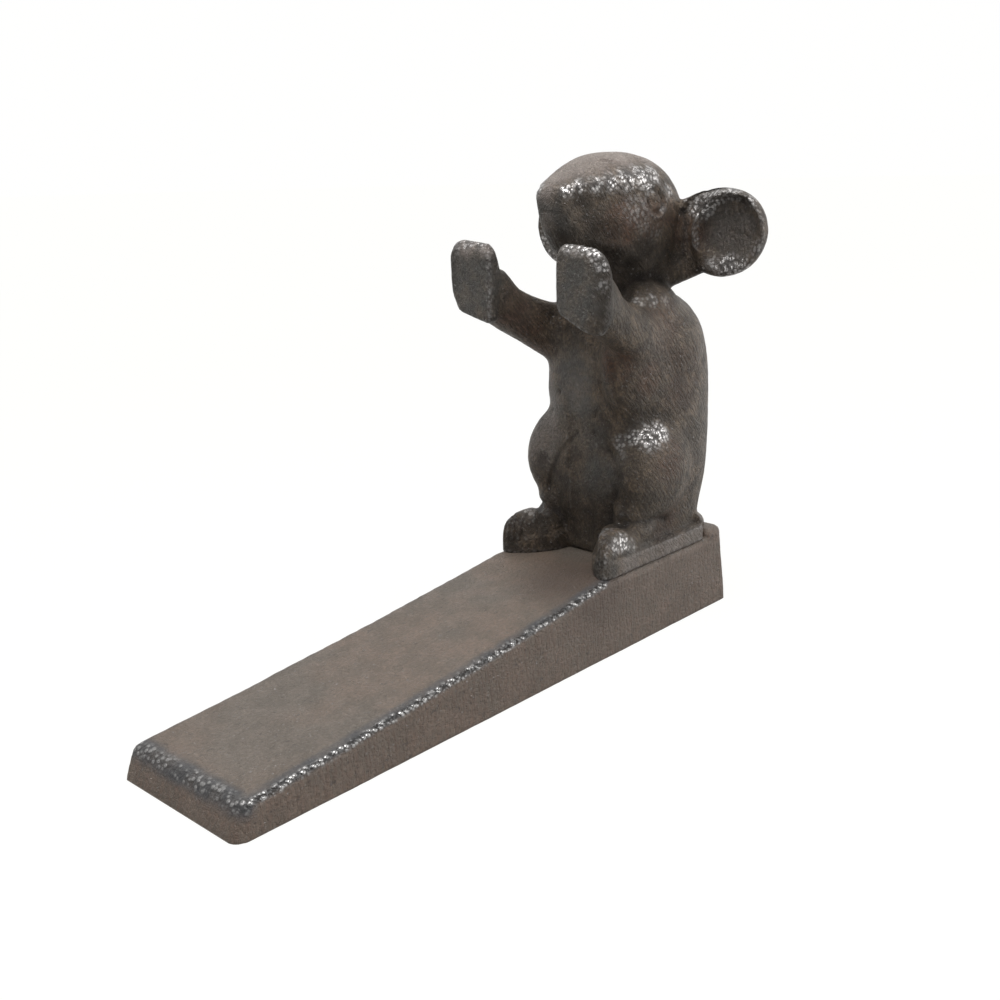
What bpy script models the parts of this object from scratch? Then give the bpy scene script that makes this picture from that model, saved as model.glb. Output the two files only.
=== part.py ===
"""Cast iron door wedge: a long hollow wedge that carries a standing mouse.

Two iron castings and their fixing. The wedge runs along X with its thin end
towards -X, and its rim rests on Z = 0. The mouse stands on the platform at
the thick end, faces the thin end and holds both palms up against the door.
A screw with a washer comes up through the wedge and holds the mouse down.
"""
import math

import bmesh
import bpy
from mathutils import Matrix, Vector

MM = 0.001

# Wedge casting
WEDGE_LENGTH = 175.0 * MM
WEDGE_WIDTH = 40.0 * MM
THIN_HEIGHT = 7.4 * MM
PLATFORM_HEIGHT = 20.2 * MM
PLATFORM_LENGTH = 58.0 * MM
RAMP_SAG = 0.7 * MM
THIN_END_SLANT = 2.8 * MM
THICK_END_SLANT = 2.4 * MM
SIDE_SLANT = 0.8 * MM
LIP_HEIGHT = 2.2 * MM
LIP_DEPTH = 9.6 * MM
LIP_ROUND = 0.6 * MM
TOP_ROUND = 1.6 * MM
CORNER_ROUND = 2.8 * MM
RAMP_STEPS = 8

# Hollow underside
RIM_WIDTH = 5.0 * MM
ROOF_THICKNESS = 5.0 * MM
POCKET_MARGIN = 16.0 * MM
POCKET_ROUND = 3.0 * MM

# Fixing
SCREW_DIAMETER = 5.0 * MM
SCREW_LENGTH = 22.0 * MM
SCREW_HEAD_DIAMETER = 9.2 * MM
SCREW_HEAD_HEIGHT = 3.2 * MM
SCREW_FLAT_SHARE = 0.55
SCREW_DOME_SHARE = 0.6
SCREW_TIP_CHAMFER = 1.0 * MM
SLOT_WIDTH = 1.2 * MM
SLOT_DEPTH = 1.5 * MM
WASHER_DIAMETER = 11.0 * MM
WASHER_THICKNESS = 1.0 * MM
BOSS_DIAMETER = 15.0 * MM
BOSS_FACE_HEIGHT = 9.6 * MM
SCREW_FROM_THICK_END = 26.0 * MM
HOLE_CLEARANCE = 0.4 * MM
HOLE_EXTRA_DEPTH = 2.5 * MM
SEAT_GAP = 0.3 * MM

# Mouse: trunk and neck
FIGURE_HEIGHT = 107.0 * MM
TRUNK_HEIGHT = 70.0 * MM
TRUNK_DEPTH = 43.5 * MM
TRUNK_WIDTH = 40.0 * MM
TRUNK_FROM_THICK_END = 1.0 * MM
NECK_DEPTH = 26.0 * MM
NECK_WIDTH = 25.0 * MM
NECK_FROM_HEAD_BACK = 19.1 * MM

# Mouse: head
HEAD_LENGTH = 49.0 * MM
HEAD_WIDTH = 29.0 * MM
HEAD_DEPTH = 40.0 * MM
HEAD_BACK_FROM_THICK_END = 9.0 * MM
EAR_WIDTH = 25.4 * MM
EAR_HEIGHT = 23.0 * MM
EAR_THICKNESS = 5.0 * MM
EAR_DISH = 2.2 * MM
EAR_SPREAD = 50.4 * MM
EAR_FROM_HEAD_BACK = 6.5 * MM
EAR_BELOW_CROWN = 20.8 * MM
EAR_ROOT_DEPTH = 13.0 * MM
EAR_ROOT_HEIGHT = 21.6 * MM
EAR_ROOT_DROP = 5.1 * MM
EAR_ROOT_SPACING = 14.5 * MM
EAR_ROOT_LEAN = 3.0 * MM

# Mouse: arms
PALM_WIDTH = 13.8 * MM
PALM_HEIGHT = 20.6 * MM
PALM_THICKNESS = 6.0 * MM
PALM_SPACING = 35.0 * MM
PALM_TOP_HEIGHT = 86.0 * MM
PALM_REACH = 22.5 * MM
PALM_SLANT = 0.38
PALM_TOP_SLANT = 0.10
ARM_WIDTH = 9.6 * MM
ARM_DEPTH = 13.0 * MM
ARM_ROOT_DEPTH = 17.0 * MM
ARM_ROOT_SPACING = 24.0 * MM
ARM_ROOT_HEIGHT = 56.5 * MM
SHOULDER_LENGTH = 33.0 * MM
SHOULDER_WIDTH = 25.0 * MM
SHOULDER_DEPTH = 29.0 * MM
SHOULDER_SPACING = 17.5 * MM
SHOULDER_HEIGHT = 56.0 * MM
SHOULDER_SET_BACK = 21.0 * MM
FLANK_LENGTH = 34.0 * MM
FLANK_WIDTH = 16.0 * MM
FLANK_DEPTH = 42.0 * MM
FLANK_SPACING = 24.0 * MM
FLANK_HEIGHT = 55.0 * MM
NEAR_FLANK_SET_BACK = 13.5 * MM
FAR_FLANK_SET_BACK = 22.0 * MM

# Mouse: legs and tail
THIGH_LENGTH = 37.0 * MM
THIGH_WIDTH = 21.6 * MM
THIGH_DEPTH = 33.0 * MM
THIGH_SPACING = 22.6 * MM
THIGH_HEIGHT = 25.0 * MM
THIGH_SET_BACK = 17.0 * MM
THIGH_TURN = math.radians(18)
FOOT_LENGTH = 45.0 * MM
FOOT_WIDTH = 12.5 * MM
FOOT_REACH = 11.8 * MM
FOOT_HEIGHT = 10.8 * MM
SHIN_DEPTH = 15.0 * MM
SHIN_WIDTH = 11.0 * MM
SHIN_HEIGHT = 22.5 * MM
SHIN_SPACING = 26.0 * MM
SHIN_SET_BACK = 7.5 * MM
SLAB_THICKNESS = 4.8 * MM
SOLE_CORNER = 4.6 * MM
SOLE_MARGIN = 0.3 * MM
HEEL_CORNER = 1.0 * MM
TAIL_SWEEP = 16.5 * MM
TAIL_RISE = 12.0 * MM
TAIL_THICKNESS = 8.4 * MM

NECK_SQUARENESS = 2.3
EAR_SQUARENESS = 2.2
EAR_ROOT_SQUARENESS = 2.6
FOOT_SQUARENESS = 2.9
CUT_OVERRUN = 1.0 * MM
BLEND_GRID = 1.1 * MM
BODY_PASSES = 9
DETAIL_PASSES = 3
MOUSE_DETAIL = 0.19


def clear_scene():
    """Remove every object that the file opened with."""
    for thing in list(bpy.data.objects):
        bpy.data.objects.remove(thing, do_unlink=True)


def iron(name, colour, roughness, metallic):
    """Return a plain material with the finish of one piece."""
    material = bpy.data.materials.new(name)
    material.use_nodes = True
    shader = material.node_tree.nodes["Principled BSDF"]
    shader.inputs["Base Color"].default_value = (*colour, 1.0)
    shader.inputs["Roughness"].default_value = roughness
    shader.inputs["Metallic"].default_value = metallic
    return material


def add_object(name, bm, material=None):
    """Turn a bmesh into a named object of the scene."""
    bmesh.ops.recalc_face_normals(bm, faces=bm.faces)
    mesh = bpy.data.meshes.new(name)
    bm.to_mesh(mesh)
    bm.free()
    thing = bpy.data.objects.new(name, mesh)
    bpy.context.scene.collection.objects.link(thing)
    if material:
        mesh.materials.append(material)
    return thing


def as_tool(thing):
    """Mark an object as a guide that only shapes its neighbours."""
    thing.hide_render = True
    thing.display_type = "WIRE"
    return thing


def boolean(thing, tool, operation):
    """Cut a tool from an object, or join it on."""
    step = thing.modifiers.new(f"{operation.lower()}_{tool.name}", "BOOLEAN")
    step.operation = operation
    step.solver = "EXACT"
    step.object = tool
    return step


def prism(profile, half_width_at):
    """Return the solid between a side profile and its mirror image, and its corner points."""
    bm = bmesh.new()
    near = [bm.verts.new((x, -half_width_at(z), z)) for x, z in profile]
    far = [bm.verts.new((x, half_width_at(z), z)) for x, z in profile]
    bm.faces.new(near)
    bm.faces.new(list(reversed(far)))
    count = len(profile)
    for i in range(count):
        j = (i + 1) % count
        bm.faces.new((near[j], near[i], far[i], far[j]))
    return bm, near, far


def round_edge(bm, start, end, share):
    """Ask the Bevel modifier for a share of its width on one edge."""
    layers = bm.edges.layers.float
    weights = layers.get("bevel_weight_edge") or layers.new("bevel_weight_edge")
    bm.edges.get((start, end))[weights] = share


def bevel(thing, width, segments):
    """Round the edges that round_edge has marked."""
    step = thing.modifiers.new("rounding", "BEVEL")
    step.width = width
    step.segments = segments
    step.limit_method = "WEIGHT"
    step.use_clamp_overlap = False
    return step


def cylinder(radius, bottom, top, x, y=0.0, sides=32):
    """Return an upright cylinder."""
    bm = bmesh.new()
    result = bmesh.ops.create_cone(
        bm, cap_ends=True, segments=sides, radius1=radius, radius2=radius, depth=top - bottom)
    bmesh.ops.translate(bm, verts=result["verts"], vec=(x, y, (bottom + top) / 2))
    return bm


def revolve(outline, x, y=0.0, sides=32):
    """Turn an outline of (radius, height) pairs round an upright axis."""
    bm = bmesh.new()
    rings = []
    for radius, z in outline:
        if radius == 0.0:
            rings.append([bm.verts.new((x, y, z))])
            continue
        angles = [2 * math.pi * i / sides for i in range(sides)]
        rings.append([bm.verts.new((x + radius * math.cos(a), y + radius * math.sin(a), z)) for a in angles])
    for lower, upper in zip(rings, rings[1:]):
        for i in range(sides):
            j = (i + 1) % sides
            if len(lower) == 1:
                bm.faces.new((lower[0], upper[j], upper[i]))
            elif len(upper) == 1:
                bm.faces.new((lower[i], lower[j], upper[0]))
            else:
                bm.faces.new((lower[i], lower[j], upper[j], upper[i]))
    return bm


def smooth_rows(rows, steps):
    """Return rows with a smooth run of in-between rows through them (Catmull-Rom)."""
    padded = [rows[0], *rows, rows[-1]]
    result = []
    for before, here, after, beyond in zip(padded, padded[1:], padded[2:], padded[3:]):
        for step in range(steps):
            t = step / steps
            result.append(tuple(
                0.5 * (2 * b + (c - a) * t + (2 * a - 5 * b + 4 * c - d) * t * t
                       + (3 * b - a - 3 * c + d) * t ** 3)
                for a, b, c, d in zip(before, here, after, beyond)))
    result.append(tuple(rows[-1]))
    return result


def oval(centre, first, second, first_radius, second_radius, squareness, sides=32):
    """Return the points of an oval in the plane of two directions.

    A squareness of 2 is an ellipse, and a larger one has fuller corners.
    """
    points = []
    for i in range(sides):
        angle = 2 * math.pi * i / sides
        c = math.cos(angle)
        s = math.sin(angle)
        u = math.copysign(abs(c) ** (2 / squareness), c)
        v = math.copysign(abs(s) ** (2 / squareness), s)
        points.append(centre + first * (u * first_radius) + second * (v * second_radius))
    return points


def cut_corners(points, times, share=0.25):
    """Round a closed ring by cutting its corners, which leaves its planes flat."""
    for _ in range(times):
        result = []
        for here, after in zip(points, points[1:] + points[:1]):
            result.append(here.lerp(after, share))
            result.append(here.lerp(after, 1 - share))
        points = result
    return points


def loft(bm, rings):
    """Skin a row of rings and close both ends."""
    rows = [[bm.verts.new(point) for point in ring] for ring in rings]
    for lower, upper in zip(rows, rows[1:]):
        for i in range(len(lower)):
            j = (i + 1) % len(lower)
            bm.faces.new((lower[i], lower[j], upper[j], upper[i]))
    bm.faces.new(list(reversed(rows[0])))
    bm.faces.new(rows[-1])


def ball(bm, centre, radii, turn=0.0):
    """Add an ellipsoid, turned about its upright axis."""
    place = Matrix.Translation(centre) @ Matrix.Rotation(turn, 4, "Z") @ Matrix.Diagonal((*radii, 1.0))
    bmesh.ops.create_uvsphere(bm, u_segments=28, v_segments=18, radius=1.0, matrix=place)


def tube(bm, points, radii, squareness=2.4, sides=32):
    """Skin a path with ovals of (half width, half depth), one pair at each point."""
    rings = []
    for i, point in enumerate(points):
        ahead = points[min(i + 1, len(points) - 1)]
        behind = points[max(i - 1, 0)]
        along = (ahead - behind).normalized()
        across = Z_AXIS.cross(along).normalized()
        rings.append(oval(point, across, along.cross(across), *radii[i], squareness, sides))
    loft(bm, rings)


X_AXIS = Vector((1, 0, 0))
Y_AXIS = Vector((0, 1, 0))
Z_AXIS = Vector((0, 0, 1))

THICK_END = WEDGE_LENGTH / 2
THIN_END = -WEDGE_LENGTH / 2
RAMP_START = THIN_END + THIN_END_SLANT
PLATFORM_START = THICK_END - PLATFORM_LENGTH
SCREW_X = THICK_END - SCREW_FROM_THICK_END
FIGURE_BASE = PLATFORM_HEIGHT + SEAT_GAP
CROWN = FIGURE_BASE + FIGURE_HEIGHT
LIP_FRONT = THICK_END - LIP_DEPTH
LIP_TOP = PLATFORM_HEIGHT + LIP_HEIGHT


def wedge_half_width(z):
    """Half of the wedge's width, which narrows a little towards the top."""
    return WEDGE_WIDTH / 2 - SIDE_SLANT * z / PLATFORM_HEIGHT


def ramp_height(x):
    """Height of the wedge's top face, on the ramp or the platform."""
    share = (x - RAMP_START) / (PLATFORM_START - RAMP_START)
    if share >= 1:
        return PLATFORM_HEIGHT
    rise = (PLATFORM_HEIGHT - THIN_HEIGHT) * share
    return THIN_HEIGHT + rise - 4 * RAMP_SAG * share * (1 - share)


def spaced(start, end, steps):
    """Evenly spaced values from start to end."""
    return [start + (end - start) * i / steps for i in range(steps + 1)]


def top_stations(start):
    """Points along the top face of the ramp, from just behind the thin end to the platform."""
    corner = start + THIN_END_SLANT
    return [corner, *(x for x in spaced(RAMP_START, PLATFORM_START, RAMP_STEPS) if x > corner + MM)]


def wedge_blank():
    """The outside of the wedge with the lip across its thick end, and its bevels marked."""
    end_top = THICK_END - THICK_END_SLANT
    profile = [(THIN_END, 0.0), (THICK_END, 0.0), (end_top, LIP_TOP)]
    profile += [(LIP_FRONT, LIP_TOP), (LIP_FRONT, PLATFORM_HEIGHT)]
    profile += [(x, ramp_height(x)) for x in reversed(top_stations(THIN_END))]
    bm, near, far = prism(profile, wedge_half_width)
    top_share = TOP_ROUND / CORNER_ROUND
    for side in (near, far):
        round_edge(bm, side[1], side[2], 1.0)
        round_edge(bm, side[-1], side[0], 1.0)
        for start, end in zip(side[2:], side[3:]):
            round_edge(bm, start, end, top_share)
    for index, share in ((2, top_share), (3, LIP_ROUND / CORNER_ROUND), (-1, top_share)):
        round_edge(bm, near[index], far[index], share)
    return bm


def pocket_cutter():
    """The hollow under the wedge, open below, with its roof parallel to the top face."""
    start = THIN_END + POCKET_MARGIN
    end = THICK_END - RIM_WIDTH
    roof = PLATFORM_HEIGHT - ROOF_THICKNESS
    profile = [(start, -CUT_OVERRUN), (end, -CUT_OVERRUN), (end - THICK_END_SLANT, roof)]
    profile += [(x, ramp_height(x) - ROOF_THICKNESS) for x in reversed(top_stations(start))]
    bm, near, far = prism(profile, lambda z: wedge_half_width(z) - RIM_WIDTH)
    for side in (near, far):
        round_edge(bm, side[1], side[2], 1.0)
        round_edge(bm, side[-1], side[0], 1.0)
    return bm


def make_wedge():
    """The wedge casting: hollow below, with a boss for the screw."""
    wedge = add_object("wedge", wedge_blank(), iron("wedge_iron", (0.085, 0.066, 0.054), 0.55, 0.6))
    bevel(wedge, CORNER_ROUND, 4)
    pocket = as_tool(add_object("pocket", pocket_cutter()))
    bevel(pocket, POCKET_ROUND, 3)
    boss_top = PLATFORM_HEIGHT - ROOF_THICKNESS / 2
    boss = as_tool(add_object("boss", cylinder(BOSS_DIAMETER / 2, BOSS_FACE_HEIGHT, boss_top, SCREW_X)))
    hole_radius = SCREW_DIAMETER / 2 + HOLE_CLEARANCE
    hole_shape = cylinder(hole_radius, -CUT_OVERRUN, PLATFORM_HEIGHT + CUT_OVERRUN, SCREW_X)
    hole = as_tool(add_object("hole", hole_shape))
    boolean(wedge, pocket, "DIFFERENCE")
    boolean(wedge, boss, "UNION")
    boolean(wedge, hole, "DIFFERENCE")
    return wedge


def make_washer():
    """The plain washer under the screw's head."""
    top = BOSS_FACE_HEIGHT - SEAT_GAP
    bottom = top - WASHER_THICKNESS
    inner = SCREW_DIAMETER / 2 + HOLE_CLEARANCE
    outer = WASHER_DIAMETER / 2
    bm = revolve([(outer, bottom), (outer, top), (inner, top), (inner, bottom), (outer, bottom)], SCREW_X)
    bmesh.ops.remove_doubles(bm, verts=bm.verts, dist=0.01 * MM)
    return add_object("washer", bm, iron("zinc_washer", (0.45, 0.44, 0.42), 0.4, 1.0))


def make_screw():
    """The slotted screw: a domed head below and a plain shank with a pointed end."""
    seat = BOSS_FACE_HEIGHT - WASHER_THICKNESS - 2 * SEAT_GAP
    shank = SCREW_DIAMETER / 2
    head = SCREW_HEAD_DIAMETER / 2
    low = seat - SCREW_HEAD_HEIGHT
    tip = seat + SCREW_LENGTH
    rise = SCREW_DOME_SHARE * SCREW_HEAD_HEIGHT
    dome = []
    for i in range(5):
        angle = math.radians(90 * i / 4)
        radius = head * (SCREW_FLAT_SHARE + (1 - SCREW_FLAT_SHARE) * math.sin(angle))
        dome.append((radius, low + rise * (1 - math.cos(angle))))
    outline = [(0.0, low), *dome, (head, seat), (shank, seat), (shank, tip - SCREW_TIP_CHAMFER)]
    outline += [(shank - SCREW_TIP_CHAMFER, tip), (0.0, tip)]
    screw = add_object("screw", revolve(outline, SCREW_X), iron("zinc_steel", (0.5, 0.49, 0.46), 0.35, 1.0))
    slot = bmesh.new()
    box = bmesh.ops.create_cube(slot, size=1.0)
    bmesh.ops.scale(slot, verts=box["verts"], vec=(2 * head, SLOT_WIDTH, 2 * SLOT_DEPTH))
    bmesh.ops.translate(slot, verts=box["verts"], vec=(SCREW_X, 0.0, low))
    boolean(screw, as_tool(add_object("slot", slot)), "DIFFERENCE")
    return screw


# Share of the trunk's height, shares of its depth cut off in front and behind,
# share of its width, and squareness
TRUNK_FORM = (
    (0.00, 0.07, 0.07, 0.84, 3.3),
    (0.10, 0.06, 0.06, 0.84, 3.3),
    (0.18, 0.04, 0.05, 0.88, 3.3),
    (0.28, 0.02, 0.03, 0.96, 3.1),
    (0.42, 0.01, 0.01, 1.00, 2.8),
    (0.58, 0.01, 0.00, 1.00, 2.7),
    (0.74, 0.02, 0.01, 0.97, 2.7),
    (0.86, 0.04, 0.08, 0.93, 2.8),
    (0.94, 0.08, 0.18, 0.87, 2.7),
    (1.00, 0.14, 0.29, 0.74, 2.5),
)

# Share of the head's length from the nose, then the crown, the ridge over the
# side plane, the cheek, the jaw and the throat: shares of the head's depth
# below the crown, and for ridge, cheek and jaw a share of its half width first
HEAD_FORM = (
    (0.039, 0.232, 0.221, 0.252, 0.234, 0.312, 0.179, 0.377, 0.407),
    (0.055, 0.190, 0.331, 0.218, 0.338, 0.318, 0.248, 0.450, 0.507),
    (0.104, 0.155, 0.414, 0.190, 0.414, 0.327, 0.310, 0.537, 0.623),
    (0.169, 0.113, 0.510, 0.170, 0.552, 0.338, 0.386, 0.600, 0.723),
    (0.241, 0.065, 0.614, 0.157, 0.731, 0.352, 0.510, 0.650, 0.802),
    (0.337, 0.020, 0.703, 0.143, 0.897, 0.368, 0.621, 0.693, 0.863),
    (0.459, 0.000, 0.786, 0.130, 1.034, 0.382, 0.717, 0.738, 0.925),
    (0.602, 0.002, 0.841, 0.132, 1.090, 0.407, 0.759, 0.787, 0.988),
    (0.745, 0.032, 0.828, 0.168, 1.076, 0.438, 0.786, 0.812, 1.012),
    (0.867, 0.093, 0.703, 0.227, 0.952, 0.475, 0.731, 0.787, 0.963),
    (0.949, 0.182, 0.469, 0.293, 0.662, 0.500, 0.524, 0.725, 0.863),
    (0.996, 0.312, 0.207, 0.375, 0.303, 0.512, 0.221, 0.662, 0.713),
)

# From the middle of an ear outwards: share of its radius, then the place of
# its surface as a share of its dish and of its half thickness
EAR_FORM = (
    (0.01, 1.0, -1.0), (0.45, 0.8, -1.0), (0.74, 0.2, -1.0), (0.88, 0.0, -1.0), (0.97, 0.0, -0.6),
    (1.0, 0.0, 0.0), (0.96, 0.0, 0.6), (0.80, 0.0, 1.0), (0.40, 0.0, 1.1), (0.01, 0.0, 1.1),
)

# Outline of a hand: shares of its width, inner edge first, and of its height
PALM_FORM = (
    (0.06, 0.95), (0.16, 1.00), (0.72, 1.00), (0.90, 0.95), (0.99, 0.82), (1.00, 0.45), (0.95, 0.22),
    (0.78, 0.05), (0.50, 0.00), (0.16, 0.02), (0.03, 0.14), (0.00, 0.45), (0.01, 0.84),
)

# Hand from in front of its palm back: share of its thickness, then its inner and
# outer edge as shares of its width, and its lower and upper end as shares of its height
HAND_FORM = (
    (-1.00, 0.06, 0.94, 0.08, 0.94),
    (0.00, 0.06, 0.94, 0.08, 0.94),
    (0.12, 0.02, 0.98, 0.07, 0.97),
    (0.42, 0.03, 1.02, 0.06, 0.95),
    (0.78, 0.08, 1.01, 0.06, 0.86),
    (1.10, 0.16, 0.92, 0.10, 0.72),
)

# Arm from the hand to its root in the trunk: share of the way back and in,
# share of the way down, shares of its half width and half depth
ARM_FORM = (
    (0.13, 0.08, 1.25, 1.06),
    (0.22, 0.23, 1.15, 1.00),
    (0.32, 0.39, 1.03, 0.94),
    (0.46, 0.54, 1.02, 0.96),
    (0.60, 0.67, 1.14, 1.04),
    (0.80, 0.85, 1.36, 1.20),
    (1.00, 1.00, 1.46, 1.25),
)

# Share of the foot's length from the toe, of its height and of its width
FOOT_FORM = (
    (0.000, 0.52, 0.30),
    (0.010, 0.72, 0.56),
    (0.025, 0.86, 0.76),
    (0.055, 0.97, 0.92),
    (0.110, 1.05, 1.00),
    (0.200, 1.08, 1.00),
    (0.320, 1.02, 1.00),
    (0.460, 0.88, 1.00),
    (0.650, 0.74, 1.00),
    (0.820, 0.63, 1.00),
    (0.960, 0.50, 0.96),
)

# Tail from the lower back: share of the trunk's depth in from its back, shares of
# the sweep to the far side and of the rise, and share of its half thickness
TAIL_FORM = (
    (0.14, 0.18, 1.00, 1.00),
    (0.10, 0.00, 0.46, 0.90),
    (0.09, -0.48, 0.28, 0.76),
    (0.13, -0.79, 0.28, 0.69),
    (0.26, -1.00, 0.42, 0.48),
)

TRUNK_BACK = THICK_END - TRUNK_FROM_THICK_END
TRUNK_FRONT = TRUNK_BACK - TRUNK_DEPTH
HEAD_BACK = THICK_END - HEAD_BACK_FROM_THICK_END
NOSE = HEAD_BACK - HEAD_LENGTH
PALM_FACE = TRUNK_FRONT - PALM_REACH


def add_trunk(bm):
    """The upright body, from the slab to the shoulders."""
    rings = []
    for height, front_cut, back_cut, width, squareness in smooth_rows(TRUNK_FORM, 4):
        front = TRUNK_FRONT + TRUNK_DEPTH * front_cut
        back = TRUNK_BACK - TRUNK_DEPTH * back_cut
        centre = Vector(((front + back) / 2, 0, FIGURE_BASE + TRUNK_HEIGHT * height))
        rings.append(oval(centre, X_AXIS, Y_AXIS, (back - front) / 2, TRUNK_WIDTH / 2 * width, squareness))
    loft(bm, rings)


def add_neck(bm):
    """The short neck between shoulders and head."""
    low = FIGURE_BASE + 0.8 * TRUNK_HEIGHT
    high = CROWN - 0.5 * HEAD_DEPTH
    x = HEAD_BACK - NECK_FROM_HEAD_BACK
    loft(bm, [
        oval(Vector((x, 0, z)), X_AXIS, Y_AXIS, NECK_DEPTH / 2, NECK_WIDTH / 2, NECK_SQUARENESS)
        for z in spaced(low, high, 6)])


def add_head(bm):
    """The head: flat-topped muzzle, side planes under a ridge, and a narrower jaw."""
    half_width = HEAD_WIDTH / 2
    rings = []
    for along, crown, ridge, ridge_z, cheek, cheek_z, jaw, jaw_z, throat in smooth_rows(HEAD_FORM, 3):
        x = NOSE + HEAD_LENGTH * along
        half = [(0.42 * ridge, crown), (ridge, ridge_z), (cheek, cheek_z), (jaw, jaw_z), (0.5 * jaw, throat)]
        outline = half + [(-y, z) for y, z in reversed(half)]
        points = [Vector((x, half_width * y, CROWN - HEAD_DEPTH * z)) for y, z in outline]
        rings.append(cut_corners(points, 2))
    loft(bm, rings)


def add_ear(bm, side):
    """One ear: a dished disc that faces forward, and its root in the head."""
    x = HEAD_BACK - EAR_FROM_HEAD_BACK
    centre = Vector((x, side * EAR_SPREAD / 2, CROWN - EAR_BELOW_CROWN))
    rings = []
    for share, dish, rim in EAR_FORM:
        middle = centre + X_AXIS * (EAR_DISH * dish + EAR_THICKNESS / 2 * rim)
        half_width = EAR_WIDTH / 2 * share
        rings.append(oval(middle, Y_AXIS, Z_AXIS, half_width, EAR_HEIGHT / 2 * share, EAR_SQUARENESS))
    loft(bm, rings)
    root_in = Vector((x - EAR_ROOT_LEAN, side * EAR_ROOT_SPACING / 2, centre.z - EAR_ROOT_DROP))
    root_out = centre - Y_AXIS * (side * EAR_WIDTH / 4)
    rings = []
    for t in spaced(0.0, 1.0, 5):
        depth = EAR_ROOT_DEPTH / 2 + (EAR_THICKNESS / 2 - EAR_ROOT_DEPTH / 2) * t
        middle = root_in.lerp(root_out, t)
        rings.append(oval(middle, X_AXIS, Z_AXIS, depth, EAR_ROOT_HEIGHT / 2, EAR_ROOT_SQUARENESS))
    loft(bm, rings)


def add_arm(bm, side):
    """One arm from the back of its hand into the shoulder, and the flank that carries it."""
    shoulder = Vector((
        TRUNK_FRONT + SHOULDER_SET_BACK, side * SHOULDER_SPACING / 2, FIGURE_BASE + SHOULDER_HEIGHT))
    ball(bm, shoulder, (SHOULDER_LENGTH / 2, SHOULDER_WIDTH / 2, SHOULDER_DEPTH / 2))
    set_back = NEAR_FLANK_SET_BACK if side < 0 else FAR_FLANK_SET_BACK
    flank = Vector((TRUNK_FRONT + set_back, side * FLANK_SPACING / 2, FIGURE_BASE + FLANK_HEIGHT))
    ball(bm, flank, (FLANK_LENGTH / 2, FLANK_WIDTH / 2, FLANK_DEPTH / 2))
    palm = Vector((PALM_FACE, side * PALM_SPACING / 2, FIGURE_BASE + PALM_TOP_HEIGHT - PALM_HEIGHT / 2))
    root = Vector((TRUNK_FRONT + ARM_ROOT_DEPTH, side * ARM_ROOT_SPACING / 2, FIGURE_BASE + ARM_ROOT_HEIGHT))
    points = []
    radii = []
    for back, drop, width, depth in smooth_rows(ARM_FORM, 4):
        points.append(Vector((
            palm.x + (root.x - palm.x) * back,
            palm.y + (root.y - palm.y) * back ** 2,
            palm.z + (root.z - palm.z) * drop)))
        radii.append((ARM_WIDTH / 2 * width, ARM_DEPTH / 2 * depth))
    tube(bm, points, radii)


def add_hand(bm, side):
    """One raised hand, run on past the plane that its palm is cut to."""
    y_mid = side * PALM_SPACING / 2
    z_mid = FIGURE_BASE + PALM_TOP_HEIGHT - PALM_HEIGHT / 2
    rings = []
    for depth, inner, outer, low, high in smooth_rows(HAND_FORM, 2):
        ring = []
        for across, up in PALM_FORM:
            y = y_mid + side * (inner + (outer - inner) * across - 0.5) * PALM_WIDTH
            z = z_mid + (low + (high - low) * up - 0.5) * PALM_HEIGHT
            z += (y - y_mid) * (PALM_SLANT - (PALM_SLANT - PALM_TOP_SLANT) * up)
            ring.append(Vector((PALM_FACE + PALM_THICKNESS * depth, y, z)))
        rings.append(ring)
    loft(bm, rings)


def add_leg(bm, side):
    """One folded leg: the thigh, which swells from the side of the belly, and the shin under it."""
    thigh = Vector((TRUNK_FRONT + THIGH_SET_BACK, side * THIGH_SPACING / 2, FIGURE_BASE + THIGH_HEIGHT))
    ball(bm, thigh, (THIGH_LENGTH / 2, THIGH_WIDTH / 2, THIGH_DEPTH / 2), -side * THIGH_TURN)
    shin = Vector((TRUNK_FRONT + SHIN_SET_BACK, side * SHIN_SPACING / 2, FIGURE_BASE + SHIN_HEIGHT / 2))
    ball(bm, shin, (SHIN_DEPTH / 2, SHIN_WIDTH / 2, SHIN_HEIGHT / 2))


def add_foot(bm, side):
    """The rounded top of one foot, highest behind the toes."""
    toe = TRUNK_FRONT - FOOT_REACH
    y = side * (WEDGE_WIDTH / 2 - SIDE_SLANT - FOOT_WIDTH / 2)
    half_width = FOOT_WIDTH / 2 - SOLE_MARGIN
    rings = []
    for along, height, width in smooth_rows(FOOT_FORM, 2):
        centre = Vector((toe + FOOT_LENGTH * along, y, FIGURE_BASE))
        top = FOOT_HEIGHT * height
        rings.append(oval(centre, Y_AXIS, Z_AXIS, half_width * width, top, FOOT_SQUARENESS))
    loft(bm, rings)


def add_tail(bm):
    """The tail, from the lower back round to the near side along the platform."""
    points = []
    radii = []
    for inward, across, up, thickness in smooth_rows(TAIL_FORM, 4):
        x = TRUNK_BACK - TRUNK_DEPTH * inward
        points.append(Vector((x, TAIL_SWEEP * across, FIGURE_BASE + TAIL_RISE * up)))
        radii.append((TAIL_THICKNESS / 2 * thickness, TAIL_THICKNESS / 2 * thickness))
    tube(bm, points, radii, 2.0, 16)


def blend_shapes(thing, passes):
    """Let overlapping shapes run into one skin, with fillets in the corners between them."""
    blend = thing.modifiers.new("blend", "REMESH")
    blend.mode = "VOXEL"
    blend.voxel_size = BLEND_GRID
    soften = thing.modifiers.new("soften", "SMOOTH")
    soften.iterations = passes
    soften.factor = 0.5


def finished_mesh(thing):
    """Return an object's mesh with its modifiers applied."""
    graph = bpy.context.evaluated_depsgraph_get()
    return bpy.data.meshes.new_from_object(thing.evaluated_get(graph))


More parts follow.
